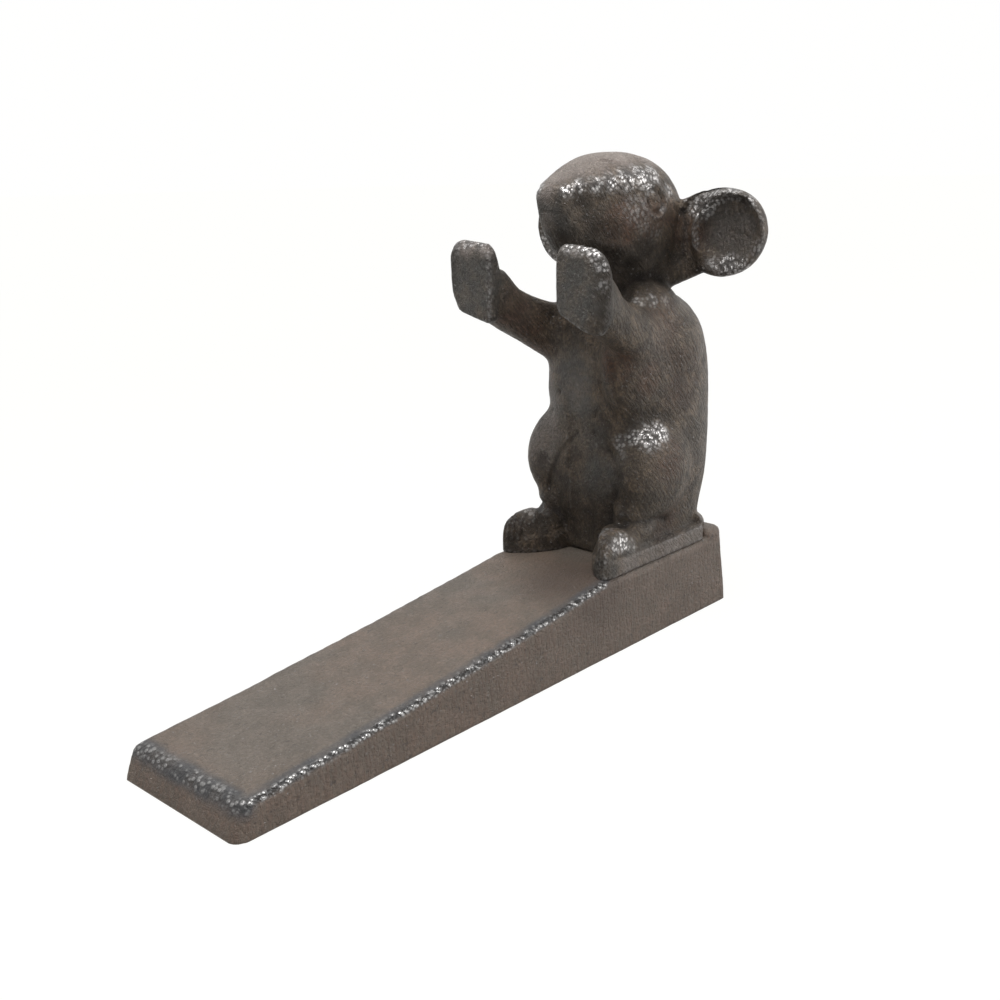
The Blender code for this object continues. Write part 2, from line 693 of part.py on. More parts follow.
def box_tool(name, low, high):
    """Return a cutting block between two corners."""
    bm = bmesh.new()
    low = Vector(low)
    high = Vector(high)
    place = Matrix.Translation((low + high) / 2) @ Matrix.Diagonal((*(high - low), 1.0))
    bmesh.ops.create_cube(bm, size=1.0, matrix=place)
    return as_tool(add_object(name, bm))


def foot_slab(name, side):
    """The flat sole under one foot, flush with the wedge's side, and run on below its base."""
    toe = TRUNK_FRONT - FOOT_REACH
    heel = toe + FOOT_LENGTH
    outer = WEDGE_WIDTH / 2 - SIDE_SLANT
    inner = outer - FOOT_WIDTH
    r = SOLE_CORNER
    corners = [(heel - HEEL_CORNER, outer), (heel, outer - HEEL_CORNER), (heel, inner)]
    for centre, start in ((inner + r, -90), (outer - r, 180)):
        for angle in spaced(math.radians(start), math.radians(start - 90), 5):
            corners.append((toe + r + r * math.cos(angle), centre + r * math.sin(angle)))
    bm = bmesh.new()
    loft(bm, [
        [Vector((x, side * y, z)) for x, y in corners]
        for z in (FIGURE_BASE - CUT_OVERRUN, FIGURE_BASE + SLAB_THICKNESS)])
    return as_tool(add_object(name, bm))


def make_mouse():
    """The mouse casting: soft body, then head, hands and feet, then the flat faces."""
    soft = bmesh.new()
    add_trunk(soft)
    for side in (-1, 1):
        add_arm(soft, side)
        add_hand(soft, side)
        add_leg(soft, side)
    body = as_tool(add_object("soft_body", soft))
    blend_shapes(body, BODY_PASSES)

    bm = bmesh.new()
    bm.from_mesh(finished_mesh(body))
    add_neck(bm)
    add_head(bm)
    add_tail(bm)
    for side in (-1, 1):
        add_ear(bm, side)
        add_hand(bm, side)
        add_foot(bm, side)
    mouse = add_object("mouse", bm, iron("mouse_iron", (0.05, 0.041, 0.037), 0.4, 0.7))
    blend_shapes(mouse, DETAIL_PASSES)
    thin = mouse.modifiers.new("thin_out", "DECIMATE")
    thin.ratio = MOUSE_DETAIL

    boolean(mouse, foot_slab("near_sole", -1), "UNION")
    boolean(mouse, foot_slab("far_sole", 1), "UNION")
    far = 4 * FIGURE_HEIGHT
    boolean(mouse, box_tool("below_base", (-far, -far, -far), (far, far, FIGURE_BASE)), "DIFFERENCE")
    boolean(mouse, box_tool("door_plane", (PALM_FACE - far, -far, 0), (PALM_FACE, far, far)), "DIFFERENCE")
    over_lip = box_tool("over_lip", (LIP_FRONT - SEAT_GAP, -far, 0), (far, far, LIP_TOP + SEAT_GAP))
    boolean(mouse, over_lip, "DIFFERENCE")

    seat = BOSS_FACE_HEIGHT - WASHER_THICKNESS - 2 * SEAT_GAP
    hole_end = seat + SCREW_LENGTH + HOLE_EXTRA_DEPTH
    tapped = cylinder(SCREW_DIAMETER / 2 + SEAT_GAP, FIGURE_BASE - CUT_OVERRUN, hole_end, SCREW_X)
    boolean(mouse, as_tool(add_object("tapped_hole", tapped)), "DIFFERENCE")
    return mouse


def shade(thing):
    """Shade a piece smooth, with its true edges kept sharp."""
    thing.data.shade_smooth()
    thing.data.set_sharp_from_angle(angle=math.radians(40))


def main():
    clear_scene()
    pieces = [make_wedge(), make_mouse(), make_washer(), make_screw()]
    for piece in pieces:
        shade(piece)


main()
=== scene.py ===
import math

import bmesh
import bpy
import numpy as np
from mathutils import Matrix, Vector


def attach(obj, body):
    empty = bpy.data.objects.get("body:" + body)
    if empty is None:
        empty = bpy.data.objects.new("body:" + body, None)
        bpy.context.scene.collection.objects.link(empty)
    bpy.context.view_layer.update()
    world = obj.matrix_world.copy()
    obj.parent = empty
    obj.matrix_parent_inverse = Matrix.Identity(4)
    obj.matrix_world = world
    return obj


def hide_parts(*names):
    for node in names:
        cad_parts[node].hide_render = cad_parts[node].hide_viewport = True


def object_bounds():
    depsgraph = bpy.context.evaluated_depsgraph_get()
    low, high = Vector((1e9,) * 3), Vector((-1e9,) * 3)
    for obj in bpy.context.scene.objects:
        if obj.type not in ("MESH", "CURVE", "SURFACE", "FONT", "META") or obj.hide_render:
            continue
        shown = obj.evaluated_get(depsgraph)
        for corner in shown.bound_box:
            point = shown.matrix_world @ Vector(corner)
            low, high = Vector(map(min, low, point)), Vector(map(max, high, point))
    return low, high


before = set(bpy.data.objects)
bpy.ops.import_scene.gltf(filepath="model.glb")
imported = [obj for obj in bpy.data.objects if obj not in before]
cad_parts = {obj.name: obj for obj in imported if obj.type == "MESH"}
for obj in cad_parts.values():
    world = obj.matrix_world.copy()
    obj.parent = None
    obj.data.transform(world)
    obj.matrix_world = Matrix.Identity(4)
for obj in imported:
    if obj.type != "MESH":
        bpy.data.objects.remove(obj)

MM = 0.001
cad_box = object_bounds()

# Wedge casting
WEDGE_LENGTH = 175.0 * MM
WEDGE_WIDTH = 40.0 * MM
THIN_HEIGHT = 7.4 * MM
PLATFORM_HEIGHT = 20.2 * MM
PLATFORM_LENGTH = 58.0 * MM
RAMP_SAG = 0.7 * MM
THIN_END_SLANT = 2.8 * MM
THICK_END_SLANT = 2.4 * MM
LIP_HEIGHT = 2.2 * MM
LIP_DEPTH = 9.6 * MM
LIP_ROUND = 0.6 * MM
SIDE_SLANT = 0.8 * MM
TOP_ROUND = 1.6 * MM
CORNER_ROUND = 2.8 * MM
RAMP_STEPS = 16
RIM_WIDTH = 5.0 * MM
FAR_CORNER_SHARE = 0.2
ROOF_THICKNESS = 5.0 * MM
POCKET_MARGIN = 16.0 * MM
POCKET_ROUND = 3.0 * MM

# Fixing
SCREW_DIAMETER = 5.0 * MM
SCREW_LENGTH = 22.0 * MM
SCREW_HEAD_DIAMETER = 9.2 * MM
SCREW_HEAD_HEIGHT = 3.2 * MM
SLOT_WIDTH = 1.2 * MM
SLOT_DEPTH = 1.5 * MM
SCREW_FLAT_SHARE = 0.55
SCREW_DOME_SHARE = 0.6
DOME_STEPS = 8
WASHER_DIAMETER = 11.0 * MM
WASHER_THICKNESS = 1.0 * MM
BOSS_DIAMETER = 15.0 * MM
BOSS_FACE_HEIGHT = 9.6 * MM
SCREW_FROM_THICK_END = 26.0 * MM
HOLE_CLEARANCE = 0.4 * MM
HOLE_EXTRA_DEPTH = 2.5 * MM
SEAT_GAP = 0.3 * MM
CUT_OVERRUN = 1.0 * MM

# Mouse
FIGURE_HEIGHT = 107.0 * MM
TRUNK_HEIGHT = 70.0 * MM
TRUNK_DEPTH = 43.5 * MM
TRUNK_WIDTH = 40.0 * MM
TRUNK_FROM_THICK_END = 1.0 * MM
NECK_DEPTH = 26.0 * MM
NECK_WIDTH = 25.0 * MM
NECK_FROM_HEAD_BACK = 19.1 * MM
NECK_BACK_EXTRA = 2.4 * MM
NECK_SQUARENESS = 2.3
STRIP_WIDTH = 9.6 * MM
STRIP_DEPTH = 0.5 * MM
HEAD_LENGTH = 49.0 * MM
HEAD_WIDTH = 29.0 * MM
HEAD_DEPTH = 40.0 * MM
HEAD_BACK_FROM_THICK_END = 9.0 * MM
EAR_WIDTH = 25.4 * MM
EAR_HEIGHT = 23.0 * MM
EAR_THICKNESS = 5.0 * MM
EAR_HOLLOW = 2.2 * MM
EAR_TRIM = 0.06
EAR_SPREAD = 50.4 * MM
EAR_FROM_HEAD_BACK = 6.5 * MM
EAR_BELOW_CROWN = 20.8 * MM
EAR_ROOT_DEPTH = 13.0 * MM
EAR_ROOT_HEIGHT = 21.6 * MM
EAR_ROOT_DROP = 5.1 * MM
EAR_ROOT_SPACING = 14.5 * MM
EAR_ROOT_LEAN = 3.0 * MM
EAR_SQUARENESS = 2.2
EAR_ROOT_SQUARENESS = 2.6
PALM_WIDTH = 13.8 * MM
PALM_HEIGHT = 20.6 * MM
PALM_THICKNESS = 6.0 * MM
PALM_SPACING = 35.0 * MM
PALM_TOP_HEIGHT = 86.0 * MM
PALM_REACH = 22.5 * MM
PALM_SLANT = 0.38
PALM_TOP_SLANT = 0.10
ARM_WIDTH = 9.6 * MM
ARM_DEPTH = 13.0 * MM
ARM_ROOT_DEPTH = 17.0 * MM
ARM_ROOT_SPACING = 24.0 * MM
ARM_ROOT_HEIGHT = 56.5 * MM
THIGH_TURN = math.radians(18)
FOOT_LENGTH = 45.0 * MM
FOOT_WIDTH = 12.5 * MM
FOOT_REACH = 11.8 * MM
FOOT_HEIGHT = 10.8 * MM
FOOT_SQUARENESS = 2.9
SLAB_THICKNESS = 4.8 * MM
TOE_EXTRA = 1.0 * MM
TOE_DEPTH = 12.5 * MM
TOE_SQUARENESS = 1.4
OUTER_TOE_CORNER = 2.4 * MM
SOLE_MARGIN = 0.3 * MM
HEEL_CORNER = 1.0 * MM
TAIL_SWEEP = 16.5 * MM
TAIL_RISE = 12.0 * MM
TAIL_THICKNESS = 8.4 * MM
ARM_SQUARENESS = 2.4
TAIL_SQUARENESS = 2.0

# Skin of the castings: grids that melt their forms together, and sizes and heights of
# the unevenness in millimetres
CAST_GROWTH = 0.45 * MM
BASE_DROP = 0.5 * MM
BASE_BAND = (0.8, 3.0)
BODY_GRID = 1.1 * MM
BODY_PASSES = 9
SKIN_GRID = 0.56 * MM
SKIN_PASSES = 5
WEDGE_GRID = 0.62 * MM
WEDGE_PASSES = 2
WEDGE_WAVE = (14.0, 0.35)
WEDGE_LUMP = (2.4, 0.16)
MOUSE_WAVE = (11.0, 0.30)
MOUSE_LUMP = (2.0, 0.20)
OVAL_SIDES = 48
TURNED_SIDES = 64

X_AXIS = Vector((1, 0, 0))
Y_AXIS = Vector((0, 1, 0))
Z_AXIS = Vector((0, 0, 1))

THICK_END = WEDGE_LENGTH / 2
THIN_END = -WEDGE_LENGTH / 2
RAMP_START = THIN_END + THIN_END_SLANT
PLATFORM_START = THICK_END - PLATFORM_LENGTH
SCREW_X = THICK_END - SCREW_FROM_THICK_END
FIGURE_BASE = PLATFORM_HEIGHT + SEAT_GAP
CROWN = FIGURE_BASE + FIGURE_HEIGHT
LIP_FRONT = THICK_END - LIP_DEPTH
LIP_TOP = PLATFORM_HEIGHT + LIP_HEIGHT
TRUNK_BACK = THICK_END - TRUNK_FROM_THICK_END
TRUNK_FRONT = TRUNK_BACK - TRUNK_DEPTH
HEAD_BACK = THICK_END - HEAD_BACK_FROM_THICK_END
NOSE = HEAD_BACK - HEAD_LENGTH
PALM_FACE = TRUNK_FRONT - PALM_REACH
SOLE_EDGE = WEDGE_WIDTH / 2 - SIDE_SLANT
SCREW_SEAT = BOSS_FACE_HEIGHT - WASHER_THICKNESS - 2 * SEAT_GAP
BOTH = (1, -1)
NEAR = (1,)

# Camera, floor and lamps; each lamp has a name, a place, a size and a power in watts
CAMERA_PLACE = (-0.1972636, -0.1940022, 0.1265879)
CAMERA_TURN = math.radians(-47.0543)
CAMERA_LIFT = math.radians(16.2424)
CAMERA_ROLL = math.radians(-1.3278)
CAMERA_LENS = 42.235
SENSOR_WIDTH = 36.0
VIEW_NEAR = 0.01
VIEW_FAR = 50.0
FLOOR_RADIUS = 6.0
FLOOR_DROP = 0.0002
FLOOR_CLOTH = (0.42, 0.42, 0.415, 1.0)
FLOOR_GLOW = (1.0, 1.0, 0.985, 1.0)
FLOOR_FADE = (200.0, 1200.0)
FLOOR_GLOW_NEAR = 1.2
FLOOR_SHADOW_SHARE = 0.22
FLOOR_BEHIND = (0.0, 350.0, 0.2)
ROOM_BEHIND = (-0.2, 0.7, 0.05)
ROOM_WHITE = (1.0, 1.0, 0.995, 1.0)
ROOM_LEVEL = 0.13
LAMP_TARGET = (0.03, 0.0, 0.06)
LAMPS = (
    ("overhead_panel", (-0.15, -0.10, 0.95), (0.48, 0.48), 6.9),
    ("side_panel", (0.80, -0.78, 0.30), (1.2, 1.0), 7.8),
    ("front_panel", (-1.0, -0.35, 0.45), (0.8, 0.8), 2.2),
)


def place_camera():
    back = Vector((
        math.sin(CAMERA_TURN) * math.cos(CAMERA_LIFT),
        -math.cos(CAMERA_TURN) * math.cos(CAMERA_LIFT),
        math.sin(CAMERA_LIFT)))
    level = Vector((math.cos(CAMERA_TURN), math.sin(CAMERA_TURN), 0))
    above = back.cross(level)
    right = math.cos(CAMERA_ROLL) * level + math.sin(CAMERA_ROLL) * above
    up = math.cos(CAMERA_ROLL) * above - math.sin(CAMERA_ROLL) * level
    data = bpy.data.cameras.new("camera")
    data.lens = CAMERA_LENS
    data.sensor_width = SENSOR_WIDTH
    data.clip_start = VIEW_NEAR
    data.clip_end = VIEW_FAR
    camera = bpy.data.objects.new("camera", data)
    camera.matrix_world = Matrix.Translation(CAMERA_PLACE) @ Matrix((right, up, back)).transposed().to_4x4()
    bpy.context.scene.collection.objects.link(camera)
    bpy.context.scene.camera = camera


def calculation(operation, reflected=False):
    """A method that joins a level with a number or another level by a Math node."""
    def work_out(self, other):
        first, second = (other, self) if reflected else (self, other)
        return self.tree.node("ShaderNodeMath", {"operation": operation}, {0: first, 1: second})
    return work_out


class Level:
    """A number from a node, which Python sums can use."""

    def __init__(self, tree, socket):
        self.tree = tree
        self.socket = socket

    __add__, __radd__ = calculation("ADD"), calculation("ADD", True)
    __sub__, __rsub__ = calculation("SUBTRACT"), calculation("SUBTRACT", True)
    __mul__, __rmul__ = calculation("MULTIPLY"), calculation("MULTIPLY", True)
    __truediv__, __rtruediv__ = calculation("DIVIDE"), calculation("DIVIDE", True)


class Tree:
    """A node tree that is written as Python expressions."""

    def __init__(self, tree):
        self.tree = tree

    def node(self, kind, settings=None, sockets=None, out=0):
        """Add a node, its settings first, and return one of its outputs."""
        node = self.tree.nodes.new(kind)
        for name, value in (settings or {}).items():
            setattr(node, name, value)
        for name, value in (sockets or {}).items():
            self.into(node, name, value)
        return Level(self, node.outputs[out])

    def into(self, node, name, value):
        """Feed a value or a link to an input of a node that is there already."""
        if isinstance(value, Level):
            self.tree.links.new(value.socket, node.inputs[name])
        else:
            node.inputs[name].default_value = value

    def step(self, value, low, high, start=0.0, end=1.0):
        """A smooth ramp from start to end while the value goes from low to high."""
        return self.node("ShaderNodeMapRange", {"interpolation_type": "SMOOTHSTEP"}, {
            "Value": value, "From Min": low, "From Max": high, "To Min": start, "To Max": end})

    def blend(self, share, first, second):
        """Mix two colours."""
        return self.node("ShaderNodeMix", {"data_type": "RGBA"}, {0: share, 6: first, 7: second}, 2)

    def larger(self, first, second):
        return self.node("ShaderNodeMath", {"operation": "MAXIMUM"}, {0: first, 1: second})


class Finish(Tree):
    """A material whose pattern lies on the piece's own Object coordinates, in millimetres."""

    def __init__(self, name):
        self.material = bpy.data.materials.new(name)
        self.material.use_nodes = True
        super().__init__(self.material.node_tree)
        self.shader = self.tree.nodes["Principled BSDF"]
        place = self.node("ShaderNodeTexCoord", out=3)
        self.place = self.node("ShaderNodeVectorMath", {"operation": "SCALE"}, {0: place, "Scale": 1 / MM})

    def stretched(self, factors, place=None):
        """The pattern's coordinates, squeezed along each axis by a factor."""
        return self.node("ShaderNodeVectorMath", {"operation": "MULTIPLY"}, {
            0: place or self.place, 1: factors})

    def noise(self, size, detail, roughness=0.5, place=None):
        """Cloudy noise with blotches of about a given size in millimetres."""
        return self.node("ShaderNodeTexNoise", None, {
            "Vector": place or self.place, "Scale": 1 / size, "Detail": detail, "Roughness": roughness})

    def spots(self, size, detail, roughness, low, high, place=None):
        """Noise with its contrast drawn out: 0 below a low value and 1 above a high one."""
        return self.step(self.noise(size, detail, roughness, place), low, high)

    def beads(self, size, smoothness):
        """Distance from the middle of the nearest bead of a pebbled skin."""
        return self.node("ShaderNodeTexVoronoi", {"feature": "SMOOTH_F1"}, {
            "Vector": self.place, "Scale": 1 / size, "Smoothness": smoothness})

    def attribute(self, name):
        return self.node("ShaderNodeAttribute", {"attribute_name": name}, None, 2)

    def near_point(self, point, radius, soft=0.5):
        """1 at a point, given in millimetres, and 0 beyond a radius from it."""
        away = self.node("ShaderNodeVectorMath", {"operation": "DISTANCE"}, {0: self.place, 1: point}, 1)
        return self.step(away, radius * (1 - soft), radius, 1.0, 0.0)

    def bump(self, height, distance, strength=1.0, under=None):
        """Raise the surface by a height map, whose full range is a distance in millimetres."""
        sockets = {"Height": height, "Distance": distance * MM, "Strength": strength}
        if under:
            sockets["Normal"] = under
        return self.node("ShaderNodeBump", None, sockets)

    def mottled(self, share, shades):
        """A mix of two plain colours."""
        return self.blend(share, *((*shade, 1.0) for shade in shades))

    def layers(self, base, *coats):
        """Lay coats of (share, colour) over a base colour, one after another."""
        for share, shade in coats:
            base = self.blend(share, base, (*shade, 1.0))
        return base

    def set(self, **sockets):
        for name, value in sockets.items():
            self.into(self.shader, name.replace("_", " "), value)
        return self.material


def behind(tree, place, start, end, least):
    """1 on the backdrop's side of the object, falling to a least value on the camera's side."""
    away = tree.node("ShaderNodeVectorMath", {"operation": "DOT_PRODUCT"}, {
        0: place, 1: (-math.sin(CAMERA_TURN), math.cos(CAMERA_TURN), 0.0)}, 1)
    return tree.step(away, start, end, least, 1.0)


def shown_share(tree, backdrop):
    """1 for what the camera sees, and the backdrop's share for what shiny or clear pieces show."""
    seen = tree.node("ShaderNodeLightPath", out=0)
    mirrored = tree.node("ShaderNodeLightPath", out=3)
    through = tree.node("ShaderNodeLightPath", out=6)
    return tree.larger(seen, tree.larger(mirrored, through) * backdrop)


def floor_material():
    """Pale floor: white to the camera, with a faint shadow, and white in what mirrors the backdrop."""
    paint = Finish("pale_floor")
    away = paint.node("ShaderNodeVectorMath", {"operation": "LENGTH"}, {0: paint.place}, 1)
    far = paint.step(away, *FLOOR_FADE)
    shown = shown_share(paint, behind(paint, paint.place, *FLOOR_BEHIND))
    cloth = paint.node("ShaderNodeBsdfDiffuse", None, {"Color": FLOOR_CLOTH})
    glow = paint.node("ShaderNodeEmission", None, {
        "Color": FLOOR_GLOW, "Strength": FLOOR_GLOW_NEAR - far * (FLOOR_GLOW_NEAR - 1)})
    lit = shown * ((1 - FLOOR_SHADOW_SHARE) + far * FLOOR_SHADOW_SHARE)
    mix = paint.node("ShaderNodeMixShader", None, {0: lit, 1: cloth, 2: glow})
    paint.into(paint.tree.nodes["Material Output"], "Surface", mix)
    return paint.material


def make_stage():
    """A wide floor and a room that is white behind the object and dim on the camera's side."""
    bm = bmesh.new()
    bmesh.ops.create_circle(bm, cap_ends=True, segments=TURNED_SIDES, radius=FLOOR_RADIUS)
    mesh = bpy.data.meshes.new("floor")
    bm.to_mesh(mesh)
    bm.free()
    floor = bpy.data.objects.new("floor", mesh)
    floor.location.z = -FLOOR_DROP
    mesh.materials.append(floor_material())
    bpy.context.scene.collection.objects.link(floor)

    world = bpy.data.worlds.new("studio")
    world.use_nodes = True
    bpy.context.scene.world = world
    tree = Tree(world.node_tree)
    ground = world.node_tree.nodes["Background"]
    direction = tree.node("ShaderNodeTexCoord", out=0)
    shown = shown_share(tree, behind(tree, direction, *ROOM_BEHIND))
    tree.into(ground, "Color", ROOM_WHITE)
    tree.into(ground, "Strength", ROOM_LEVEL + shown * (1 - ROOM_LEVEL))


def light_studio():
    for name, place, (width, height), power in LAMPS:
        data = bpy.data.lights.new(name, "AREA")
        data.shape = "RECTANGLE"
        data.size = width
        data.size_y = height
        data.energy = power
        lamp = bpy.data.objects.new(name, data)
        aim = (Vector(LAMP_TARGET) - Vector(place)).to_track_quat("-Z", "Y")
        lamp.matrix_world = Matrix.Translation(place) @ aim.to_matrix().to_4x4()
        bpy.context.scene.collection.objects.link(lamp)


def add_object(name, bm):
    bmesh.ops.recalc_face_normals(bm, faces=bm.faces)
    mesh = bpy.data.meshes.new(name)
    bm.to_mesh(mesh)
    bm.free()
    thing = bpy.data.objects.new(name, mesh)
    bpy.context.scene.collection.objects.link(thing)
    return thing


def drop(*things):
    for thing in things:
        bpy.data.objects.remove(thing, do_unlink=True)


def boolean(thing, tool, operation):
    step = thing.modifiers.new(operation.lower(), "BOOLEAN")
    step.operation = operation
    step.solver = "EXACT"
    step.object = tool
    return step


def apply_modifiers(thing):
    """Replace an object's mesh by the result of its modifiers, and remove them."""
    graph = bpy.context.evaluated_depsgraph_get()
    graph.update()
    mesh = bpy.data.meshes.new_from_object(thing.evaluated_get(graph))
    thing.modifiers.clear()
    thing.data = mesh
    return thing


def melt(thing, grid, passes):
    """Let overlapping shapes run into one skin, with fillets between them."""
    blend = thing.modifiers.new("blend", "REMESH")
    blend.mode = "VOXEL"
    blend.voxel_size = grid
    soften = thing.modifiers.new("soften", "SMOOTH")
    soften.iterations = passes
    soften.factor = 0.5
    return apply_modifiers(thing)


def spaced(start, end, steps):
    return [start + (end - start) * i / steps for i in range(steps + 1)]


def smooth_rows(rows, steps):
    """Rows with a smooth run of in-between rows through them (Catmull-Rom)."""
    padded = [rows[0], *rows, rows[-1]]
    result = []
    for before, here, after, beyond in zip(padded, padded[1:], padded[2:], padded[3:]):
        for step in range(steps):
            t = step / steps
            result.append(tuple(
                0.5 * (2 * b + (c - a) * t + (2 * a - 5 * b + 4 * c - d) * t * t
                       + (3 * b - a - 3 * c + d) * t ** 3)
                for a, b, c, d in zip(before, here, after, beyond)))
    result.append(tuple(rows[-1]))
    return result


def oval(centre, first, second, first_radius, second_radius, squareness):
    """An oval ring of points; squareness 2 is an ellipse, and more gives fuller corners."""
    points = []
    for angle in spaced(0.0, 2 * math.pi, OVAL_SIDES)[:-1]:
        c = math.cos(angle)
        s = math.sin(angle)
        u = math.copysign(abs(c) ** (2 / squareness), c)
        v = math.copysign(abs(s) ** (2 / squareness), s)
        points.append(centre + first * (u * first_radius) + second * (v * second_radius))
    return points


def cut_corners(points, times, share=0.25):
    """Round a closed ring by cutting its corners, which leaves its planes flat."""
    for _ in range(times):
        result = []
        for here, after in zip(points, points[1:] + points[:1]):
            result.append(here.lerp(after, share))
            result.append(here.lerp(after, 1 - share))
        points = result
    return points


def loft(bm, rings):
    """Skin a row of rings and close both ends."""
    rows = [[bm.verts.new(point) for point in ring] for ring in rings]
    for lower, upper in zip(rows, rows[1:]):
        for i in range(len(lower)):
            j = (i + 1) % len(lower)
            bm.faces.new((lower[i], lower[j], upper[j], upper[i]))
    bm.faces.new(list(reversed(rows[0])))
    bm.faces.new(rows[-1])


def cylinder(radius, bottom, top, x):
    bm = bmesh.new()
    result = bmesh.ops.create_cone(
        bm, cap_ends=True, segments=OVAL_SIDES, radius1=radius, radius2=radius, depth=top - bottom)
    bmesh.ops.translate(bm, verts=result["verts"], vec=(x, 0.0, (bottom + top) / 2))
    return bm


def block(low, high):
    bm = bmesh.new()
    low = Vector(low)
    high = Vector(high)
    place = Matrix.Translation((low + high) / 2) @ Matrix.Diagonal((*(high - low), 1.0))
    bmesh.ops.create_cube(bm, size=1.0, matrix=place)
    return bm


def revolve(outline, x):
    """Turn an outline of (radius, height) pairs round an upright axis."""
    bm = bmesh.new()
    angles = spaced(0.0, 2 * math.pi, TURNED_SIDES)[:-1]
    rings = []
    for radius, z in outline:
        turns = angles if radius > 0.0 else angles[:1]
        rings.append([bm.verts.new((x + radius * math.cos(a), radius * math.sin(a), z)) for a in turns])
    for lower, upper in zip(rings, rings[1:]):
        for i in range(TURNED_SIDES):
            j = (i + 1) % TURNED_SIDES
            if len(lower) == 1:
                bm.faces.new((lower[0], upper[j], upper[i]))
            elif len(upper) == 1:
                bm.faces.new((lower[i], lower[j], upper[0]))
            else:
                bm.faces.new((lower[i], lower[j], upper[j], upper[i]))
    return bm


def mesh_points(mesh):
    """Points and normals of a mesh, as arrays in millimetres and unit vectors."""
    points = np.empty(len(mesh.vertices) * 3)
    mesh.vertices.foreach_get("co", points)
    normals = np.empty(len(mesh.vertices) * 3)
    mesh.vertex_normals.foreach_get("vector", normals)
    return points.reshape(-1, 3) / MM, normals.reshape(-1, 3)


def set_points(mesh, points):
    mesh.vertices.foreach_set("co", (points * MM).ravel())
    mesh.update()


def mesh_edges(mesh):
    edges = np.empty(len(mesh.edges) * 2, dtype=np.int64)
    mesh.edges.foreach_get("vertices", edges)
    return edges.reshape(-1, 2)


def spread(values, edges, passes):
    """Average values with their neighbours' along the edges of a mesh."""
    count = np.bincount(edges.ravel(), minlength=len(values)).clip(1)
    for _ in range(passes):
        total = np.bincount(edges[:, 0], values[edges[:, 1]], len(values))
        total += np.bincount(edges[:, 1], values[edges[:, 0]], len(values))
        values = 0.5 * values + 0.5 * total / count
    return values


def sharpness(mesh):
    """How strongly each point stands out from its neighbourhood, in millimetres."""
    points, normals = mesh_points(mesh)
    edges = mesh_edges(mesh)
    around = np.stack([spread(points[:, i], edges, 8) for i in range(3)], axis=1)
    out = ((points - around) * normals).sum(axis=1)
    return spread(out, edges, 3)


def ease(values, low, high):
    """A smooth ramp from 0 to 1 while the values go from low to high."""
    t = np.clip((values - low) / (high - low), 0, 1)
    return t * t * (3 - 2 * t)


def fade(values, low, high):
    return 1 - ease(values, low, high)


def distance_to_path(points, path):
    """Distance of points to a broken line."""
    path = np.array(path, dtype=float)
    best = np.full(len(points), 1e9)
    for start, end in zip(path, path[1:]):
        along = np.clip(((points - start) @ (end - start)) / ((end - start) @ (end - start)), 0, 1)
        away = np.linalg.norm(points - start - along[:, None] * (end - start), axis=1)
        best = np.minimum(best, away)
    return best


def store(mesh, name, values):
    layer = mesh.attributes.new(name, "FLOAT", "POINT")
    layer.data.foreach_set("value", np.clip(values, 0, 1).astype(np.float32))


def cast_skin():
    """Node tree that gives a casting its uneven skin: broad waves and small lumps."""
    group = bpy.data.node_groups.new("cast_skin", "GeometryNodeTree")
    group.is_modifier = True
    group.interface.new_socket("Body", in_out="INPUT", socket_type="NodeSocketGeometry")
    for name in ("Wave size", "Wave height", "Lump size", "Lump height"):
        group.interface.new_socket(name, in_out="INPUT", socket_type="NodeSocketFloat")
    group.interface.new_socket("Finish", in_out="INPUT", socket_type="NodeSocketMaterial")
    group.interface.new_socket("Body", in_out="OUTPUT", socket_type="NodeSocketGeometry")
    tree = Tree(group)
    inputs = group.nodes.new("NodeGroupInput")
    given = {socket.name: Level(tree, socket) for socket in inputs.outputs if socket.name}

    def swell(size, height):
        noise = tree.node("ShaderNodeTexNoise", {"noise_dimensions": "4D"}, {
            "W": 3.0, "Scale": 1 / given[size], "Detail": 1.0})
        return (noise - 0.5) * given[height]

    lift = swell("Wave size", "Wave height") + swell("Lump size", "Lump height")
    normal = tree.node("GeometryNodeInputNormal")
    offset = tree.node("ShaderNodeVectorMath", {"operation": "SCALE"}, {0: normal, "Scale": lift})
    moved = tree.node("GeometryNodeSetPosition", None, {"Geometry": given["Body"], "Offset": offset})
    real = tree.node("GeometryNodeRealizeInstances", None, {"Geometry": moved})
    done = tree.node("GeometryNodeSetMaterial", None, {"Geometry": real, "Material": given["Finish"]})
    output = group.nodes.new("NodeGroupOutput")
    tree.into(output, 0, done)
    return group


def set_inputs(step, values):
    """Set a Geometry Nodes modifier's inputs by the identifiers of their sockets."""
    for socket in step.node_group.interface.items_tree:
        if socket.in_out == "INPUT" and socket.name in values:
            step[socket.identifier] = values[socket.name]


def roughen(thing, group, finish, wave, lump):
    """Give a casting its uneven skin; wave and lump are a size and a height in millimetres."""
    step = thing.modifiers.new("cast_skin", "NODES")
    step.node_group = group
    set_inputs(step, {
        "Wave size": wave[0] * MM, "Wave height": wave[1] * MM,
        "Lump size": lump[0] * MM, "Lump height": lump[1] * MM, "Finish": finish})
    return apply_modifiers(thing)


def wedge_half_width(z):
    return WEDGE_WIDTH / 2 - SIDE_SLANT * z / PLATFORM_HEIGHT


def ramp_height(x):
    share = (x - RAMP_START) / (PLATFORM_START - RAMP_START)
    if share >= 1:
        return PLATFORM_HEIGHT
    rise = (PLATFORM_HEIGHT - THIN_HEIGHT) * share
    return THIN_HEIGHT + rise - 4 * RAMP_SAG * share * (1 - share)


